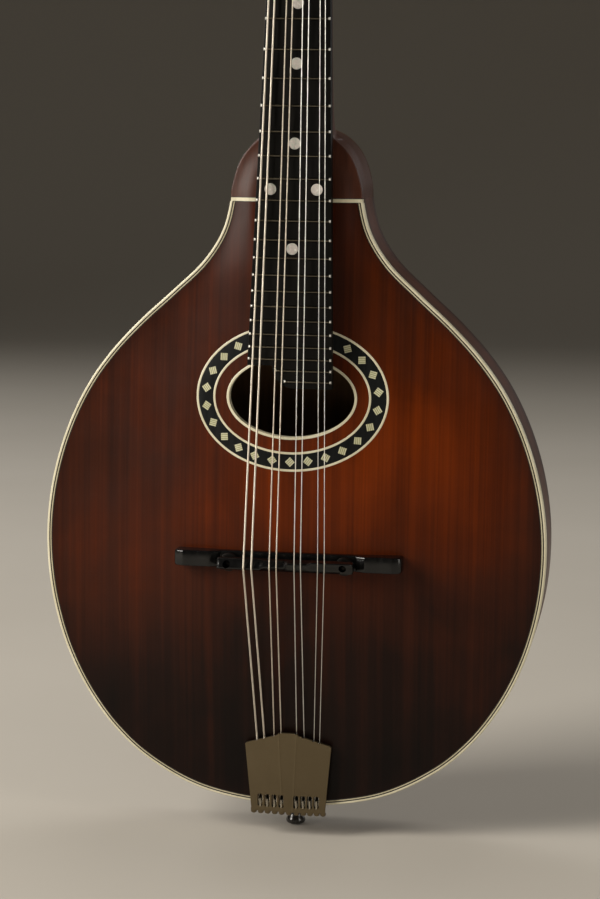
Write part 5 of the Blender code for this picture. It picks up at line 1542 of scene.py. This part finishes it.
def tailpiece():
    s = Shape()
    k = 4.6 / 22
    us = np.unique(np.r_[np.linspace(0, 1, 27), k + np.array([-0.035, -0.018, 0, 0.012, 0.025,
                                                             0.038, 0.05]),
                         1 - np.array([0.003, 0.012, 0.026, 0.045])])
    us = np.r_[-us[::-1][:-1], us]
    ts = np.r_[0.0, 0.004, 0.012, 0.022, np.linspace(0.04, 1, 46)]
    rows_t = []
    for t in ts:
        row = []
        for u in us:
            a = abs(u)
            # columns follow the fold lines, which close in towards the tail
            fold, half = 4.6 - 2.0 * t, 22.0 - 3.2 * t
            x = fold * a / k if a <= k else fold + (half - fold) * (a - k) / (1 - k)
            x_top = 22.0 * a
            z_top = float(tail_edge(x_top))
            z = z_top + (TAIL_END - z_top) * t
            dx = half - x                       # rounded top corners
            if t < 0.03 and dx < 0.95:
                z -= (0.95 - math.sqrt(max(0.0, 0.9025 - (0.95 - dx) ** 2))) * (1 - t / 0.03)
            row.append((math.copysign(x, u), z))
        rows_t.append(row)
    g = np.array(rows_t)
    up = P(g[..., 0], tail_top(g[..., 0], g[..., 1]), g[..., 1])
    dn = P(g[..., 0], tail_top(g[..., 0], g[..., 1]) - TAIL_T, g[..., 1])
    n, m = up.shape[:2]
    ringed = np.concatenate([up, dn[:, ::-1]], axis=1)
    s.grid(ringed, cv=True)
    for r in (0, n - 1):
        base = s.n
        s.v.append(ringed[r])
        for j in range(m - 1):
            s.f.append([base + j, base + j + 1, base + 2 * m - 2 - j, base + 2 * m - 1 - j])
            s.m.append(0)
        s.n += 2 * m
    ob = piece("tailpiece_plate", s, TAIL_FIN, instead=("tailpiece",), slot="cast_nickel", angle=30)
    slots = Shape()
    for x in HOOK_X:
        o = round_poly([(x - 1.3, -306.2), (x + 1.3, -306.2), (x + 1.3, -299.5), (x - 1.3, -299.5)],
                       0.9, 4)
        prism(o, lambda a, b: P(a, 12.0, b), lambda a, b: P(a, -2.0, b), slots)
    notches = Shape()
    for x in EDGE_X:
        f = at_body(x, 0, float(tail_edge(x)) + 0.2)
        turned([(0.72, -2), (0.72, 12)], 16, f, notches)
    cut(ob, [slots, notches], 30)
    soften(ob, 0.2, 2, 50)
    return ob


tailpiece()
lobes = Shape()
for x in [-17.9] + HOOK_X + [0.3, 17.7]:
    z0 = TAIL_END + 1.2
    h0 = float(tail_top(np.array(x), np.array(z0)))
    path = spline([(x, h0 - 0.85, z0), (x, h0 - 0.95, TAIL_END - 0.1), (x, h0 - 1.5, TAIL_END - 1.0),
                   (x, h0 - 2.9, TAIL_END - 1.15), (x, h0 - 4.6, TAIL_END - 0.75)], 5)
    p3 = P(path[:, 0], path[:, 1], path[:, 2])
    pts = tube_pts(p3, np.r_[np.full(len(p3) - 3, 1.0), 0.95, 0.8, 0.45], 14)
    c = p3[:, None, :]
    pts = c + (pts - c) * np.array([1.38, 0.85, 0.85])
    lobes.grid(pts, cv=True, caps=True)
tongues = Shape()
for x in HOOK_X:
    # hook tongue that rises from the tail end of its slot, worn bright by the loops
    h0 = float(tail_top(np.array(x), np.array(-304.0)))
    path = spline([(x, h0 - 1.0, -307.4), (x, h0 - 0.85, -306.0), (x, h0 - 0.55, -304.6),
                   (x, h0 - 0.2, -303.0), (x, h0 + 0.05, -301.9)], 5)
    p3 = P(path[:, 0], path[:, 1], path[:, 2])
    pts = tube_pts(p3, np.linspace(0.72, 0.42, len(p3)), 12)
    tongues.grid(pts, cv=True, caps=True)
piece("tailpiece_lobes", lobes, TAIL_FIN, slot="cast_nickel", angle=45)
piece("tailpiece_hooks", tongues, SCREW, slot="nickel", angle=45)
brk = [(-18.2, 3.6), (18.2, 3.6), (18.2, -1.0), (11.0, -9.0), (9.5, -30.0), (6.0, -34.0), (-6.0, -34.0),
       (-9.5, -30.0), (-11.0, -9.0), (-18.2, -1.0)]
brk = round_poly(brk, [0.5, 0.5, 2, 6, 3, 2, 2, 3, 6, 2], 8)
bracket = piece("tailpiece_bracket", prism(brk, lambda x, h: P(x, h, TAIL_END + 0.05),
                                           lambda x, h: P(x, h, -306.45)), TAIL_FIN,
                slot="cast_nickel", angle=35)
pin_hole = turned([(3.75, 0), (3.75, 30.0)], 32, PIN_FRAME)
soften(bracket, 0.3, 2, 50)
cut(bracket, [pin_hole], 35)
for x, h in ((0.0, -8.5), (-5.2, -30.2), (5.2, -30.2)):
    screw(Matrix.Translation(Vector(P(x, h, TAIL_END + 0.05))) @ Matrix.Rotation(PI, 4, "X"), 1.6,
          spin=h)
# BLACK_LINE here colours the screw slots as painted shade
piece("slotted_screws", SCREWS, [SCREW, BLACK_LINE], slot="nickel", angle=30)

turned_pin = [(0.0001, 0.0), (2.6, 0.0), (3.9, 0.05), (4.35, 0.35), (4.85, 1.0), (5.0, 1.6), (4.85, 2.6),
              (4.3, 3.7), (3.75, 5.0), (3.45, 6.4), (3.5, 7.8), (3.9, 9.2), (4.5, 10.3), (4.9, 11.3),
              (5.0, 12.1), (4.7, 12.45), (3.45, 12.5), (3.42, 14.0), (3.3, 33.5), (2.9, 34.0)]
piece("turned_end_pin", turned(turned_pin, 48, PIN_FRAME), PIN_FIN, instead=("end_pin",), slot="ebony",
      angle=40)

# ---------------------------------------------------------------- strings
for i in range(8):
    r = STRING_R[i]
    sx, u = POSTS[i]
    s = Shape()
    hx, ex_ = HOOK_X[i], EDGE_X[i]
    kt = (3.95 - 2.1) / (269.0 - 297.0) * -1
    main = [P(hx + (ex_ - hx) * 0.06, 2.25, -297.0), P(hx + (ex_ - hx) * 0.2, 2.5, -293.0),
            P(ex_ - (ex_ - hx) * 0.06, 3.8, -271.0), P(ex_, 3.95, -269.0)]
    hb = BRIDGE_H
    zb = SADDLE_Z + float(np.interp(BRIDGE_X[i], *RIDGE))
    kb = (hb - 3.95) / (269.0 + zb)
    hn = NUT_TOP + 0.32 + r
    kn = (hb - hn) / (SCALE / 2 - zb)
    bx = BRIDGE_X[i]

    def seg_pts(a, b, step=2.0):
        a, b = np.array(a), np.array(b)
        n = max(2, int(np.linalg.norm(b - a) / MM / step))
        return [a + (b - a) * k / n for k in range(n)]

    p_b0 = P(bx + (ex_ - bx) * 0.010, hb - 0.9 * kb, zb - 0.9)
    p_b1 = P(bx, hb - 0.04, zb)
    p_b2 = P(bx + (NUT_X[i] - bx) * 0.003, hb - kn * 0.9, zb + 0.9)
    p_n0 = P(NUT_X[i], hn, SCALE / 2 + 0.5)
    p_n1 = P(NUT_X[i] * 1.003, hn - 0.3, SCALE / 2 + 2.6)
    rc = 2.4 + 0.06 + r
    px = sx * POST_X
    turns = 2.25 if i < 4 else 3.25
    n_top = 8.0 - r
    pitch = 2 * r + 0.06
    coils = []
    steps = int(turns * 28)
    n0 = 5.45 + r
    for k in range(steps + 1):
        a = 2 * PI * k / 28
        coils.append(H(px - sx * rc * math.cos(a), u + rc * math.sin(a),
                       n0 + pitch * (turns - k / 28.0)))
    path = []
    for a, b in zip(main[:-1], main[1:]):
        path += seg_pts(a, b)
    path += seg_pts(main[-1], p_b0)
    path += [p_b0, p_b1, p_b2]
    path += seg_pts(p_b2, p_n0)[1:]
    path += [p_n0] + seg_pts(p_n1, coils[0])
    path += coils
    tube(s, np.array(path), r, 12 if r > 0.3 else 10)
    # loop round the hook: two strands from the twist, meeting behind the tongue
    lp = [(hx, 2.25, -296.6), (hx + 0.35, 2.3, -298.2), (hx + 0.95, 2.5, -301.0), (hx + 1.05, 2.7, -303.4),
          (hx + 0.75, 2.85, -304.9), (hx, 2.9, -305.5), (hx - 0.75, 2.85, -304.9),
          (hx - 1.05, 2.7, -303.4), (hx - 0.95, 2.5, -301.0), (hx - 0.35, 2.3, -298.2),
          (hx, 2.25, -296.6)]
    lift = float(tail_top(np.array(hx), np.array(-304.0))) - 1.45 - 2.85
    sp_ = spline(lp, 6)
    fr_ = np.clip((-296.6 - sp_[:, 2]) / 8.0, 0, 1)
    tube(s, P(sp_[:, 0], sp_[:, 1] + lift * fr_, sp_[:, 2]), min(r, 0.30), 10)
    # the twist: the wire's end wound back over itself
    tw = []
    for k in range(0, 7 * 14 + 1):
        a = 2 * PI * k / 14
        f = k / (7 * 14)
        z = -297.2 + 6.0 * f
        h = 2.22 + (z + 297.0) * 0.062
        xx = hx + (ex_ - hx) * (z + 299.0) / 28.0 * 0.9
        tw.append(P(xx + (r + 0.16) * math.cos(a), h + (r + 0.16) * math.sin(a), z))
    tube(s, np.array(tw), 0.16, 8)
    mat = (WOUND if i < 2 else WOUND_D) if i < 4 else PLAIN
    piece("string_%d_visual" % (i + 1), s, mat, instead=("string_%d" % (i + 1),),
          slot="wound_string" if i < 4 else "plain_string", angle=70)

# ---------------------------------------------------------------- carried-over CAD nodes
for nm, mt in (("neck_block", BARE_MAPLE), ("tail_block", BARE_MAPLE),
               ("top_lining_bass", BARE_SPRUCE), ("top_lining_treble", BARE_SPRUCE),
               ("back_lining_bass", BARE_SPRUCE), ("back_lining_treble", BARE_SPRUCE),
               ("top_brace", BARE_SPRUCE), ("truss_rod", STEEL)):
    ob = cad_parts[nm]
    ob.data.materials.clear()
    ob.data.materials.append(mt)

# ---------------------------------------------------------------- stage, light, camera
def studio():
    m = Mat("pale_floor", 0.85, spec=0.1)
    g = m.noise((3, 3, 3), 4.0, 0.5)
    near = m.ramp(g, [(0.3, (0.51, 0.475, 0.42)), (0.7, (0.54, 0.505, 0.45))])
    reach = m.node("ShaderNodeVectorMath", operation="LENGTH")
    m.put(reach.inputs[0], m.coord)
    m.set(m.mix(m.fit(reach.outputs["Value"], 0.7, 3.4, 0.0, 1.0, True), near,
                (0.22, 0.20, 0.17)))
    seg = 96
    prof = [(0.001, 0.0)] + [(r, 0.0) for r in np.linspace(0.25, 3.0, 12)]
    for t in np.linspace(0, 1, 16)[1:]:
        prof.append((3.0 + 1.5 * math.sin(t * PI / 2), 1.5 * (1 - math.cos(t * PI / 2))))
    prof.append((4.5, 3.4))
    a = 2 * PI * np.arange(seg) / seg
    pts = np.array([[(r * math.cos(t), r * math.sin(t), z - 0.0006) for t in a] for r, z in prof])
    piece("floor", Shape().grid(pts, cv=True), m.m, body=None, angle=60)

    def soft(name, at, to, size, power, colour=(1.0, 0.95, 0.87)):
        li = bpy.data.lights.new(name, "AREA")
        li.shape = "RECTANGLE"
        li.size, li.size_y = size
        li.energy = power
        li.color = colour
        ob = bpy.data.objects.new(name, li)
        bpy.context.scene.collection.objects.link(ob)
        ob.location = at
        ob.rotation_euler = (Vector(to) - Vector(at)).to_track_quat("-Z", "Y").to_euler()
        ob.visible_camera = False

    soft("key_left", (-1.6, -1.15, 1.2), (0, 0, 0.25), (0.9, 1.4), 60)
    soft("fill_right", (1.7, -1.0, 0.6), (0, 0, 0.2), (0.45, 1.3), 10)
    soft("over", (0.0, 0.9, 2.4), (0, 0.5, 0.0), (1.6, 1.2), 9, (1, 0.96, 0.9))
    soft("back_left", (-1.9, 1.7, 1.2), (0, 0, 0.3), (0.8, 1.4), 15, (1, 1, 1))
    soft("back_right", (1.9, 1.8, 1.1), (0, 0, 0.3), (0.8, 1.4), 12, (1, 1, 1))
    w = bpy.data.worlds.new("studio")
    bpy.context.scene.world = w
    w.use_nodes = True
    bg = w.node_tree.nodes["Background"]
    bg.inputs["Color"].default_value = (1.0, 0.93, 0.82, 1.0)
    bg.inputs["Strength"].default_value = 0.05


studio()

cam = bpy.data.cameras.new("camera")
cam.lens, cam.sensor_width, cam.sensor_fit = 94.06, 36.0, "AUTO"
cam.clip_start, cam.clip_end = 0.05, 40.0
cam_ob = bpy.data.objects.new("camera", cam)
bpy.context.scene.collection.objects.link(cam_ob)
rx, ry, rz = 0.131134, 0.162263, 0.033466
Rx = np.array([[1, 0, 0], [0, math.cos(rx), -math.sin(rx)], [0, math.sin(rx), math.cos(rx)]])
Ry = np.array([[math.cos(ry), 0, math.sin(ry)], [0, 1, 0], [-math.sin(ry), 0, math.cos(ry)]])
Rz = np.array([[math.cos(rz), -math.sin(rz), 0], [math.sin(rz), math.cos(rz), 0], [0, 0, 1]])
M3 = Rz @ Ry @ Rx @ np.array([[1, 0, 0], [0, 0, -1], [0, -1, 0]]) @ np.diag([1, -1, 1])
cam_ob.matrix_world = Matrix((
    (M3[0][0], -M3[1][0], -M3[2][0], 0.1923), (M3[0][1], -M3[1][1], -M3[2][1], -1.1657),
    (M3[0][2], -M3[1][2], -M3[2][2], 0.3484), (0, 0, 0, 1)))
bpy.context.scene.camera = cam_ob
bpy.context.scene.view_settings.view_transform = "Standard"
bpy.context.scene.view_settings.look = "None"
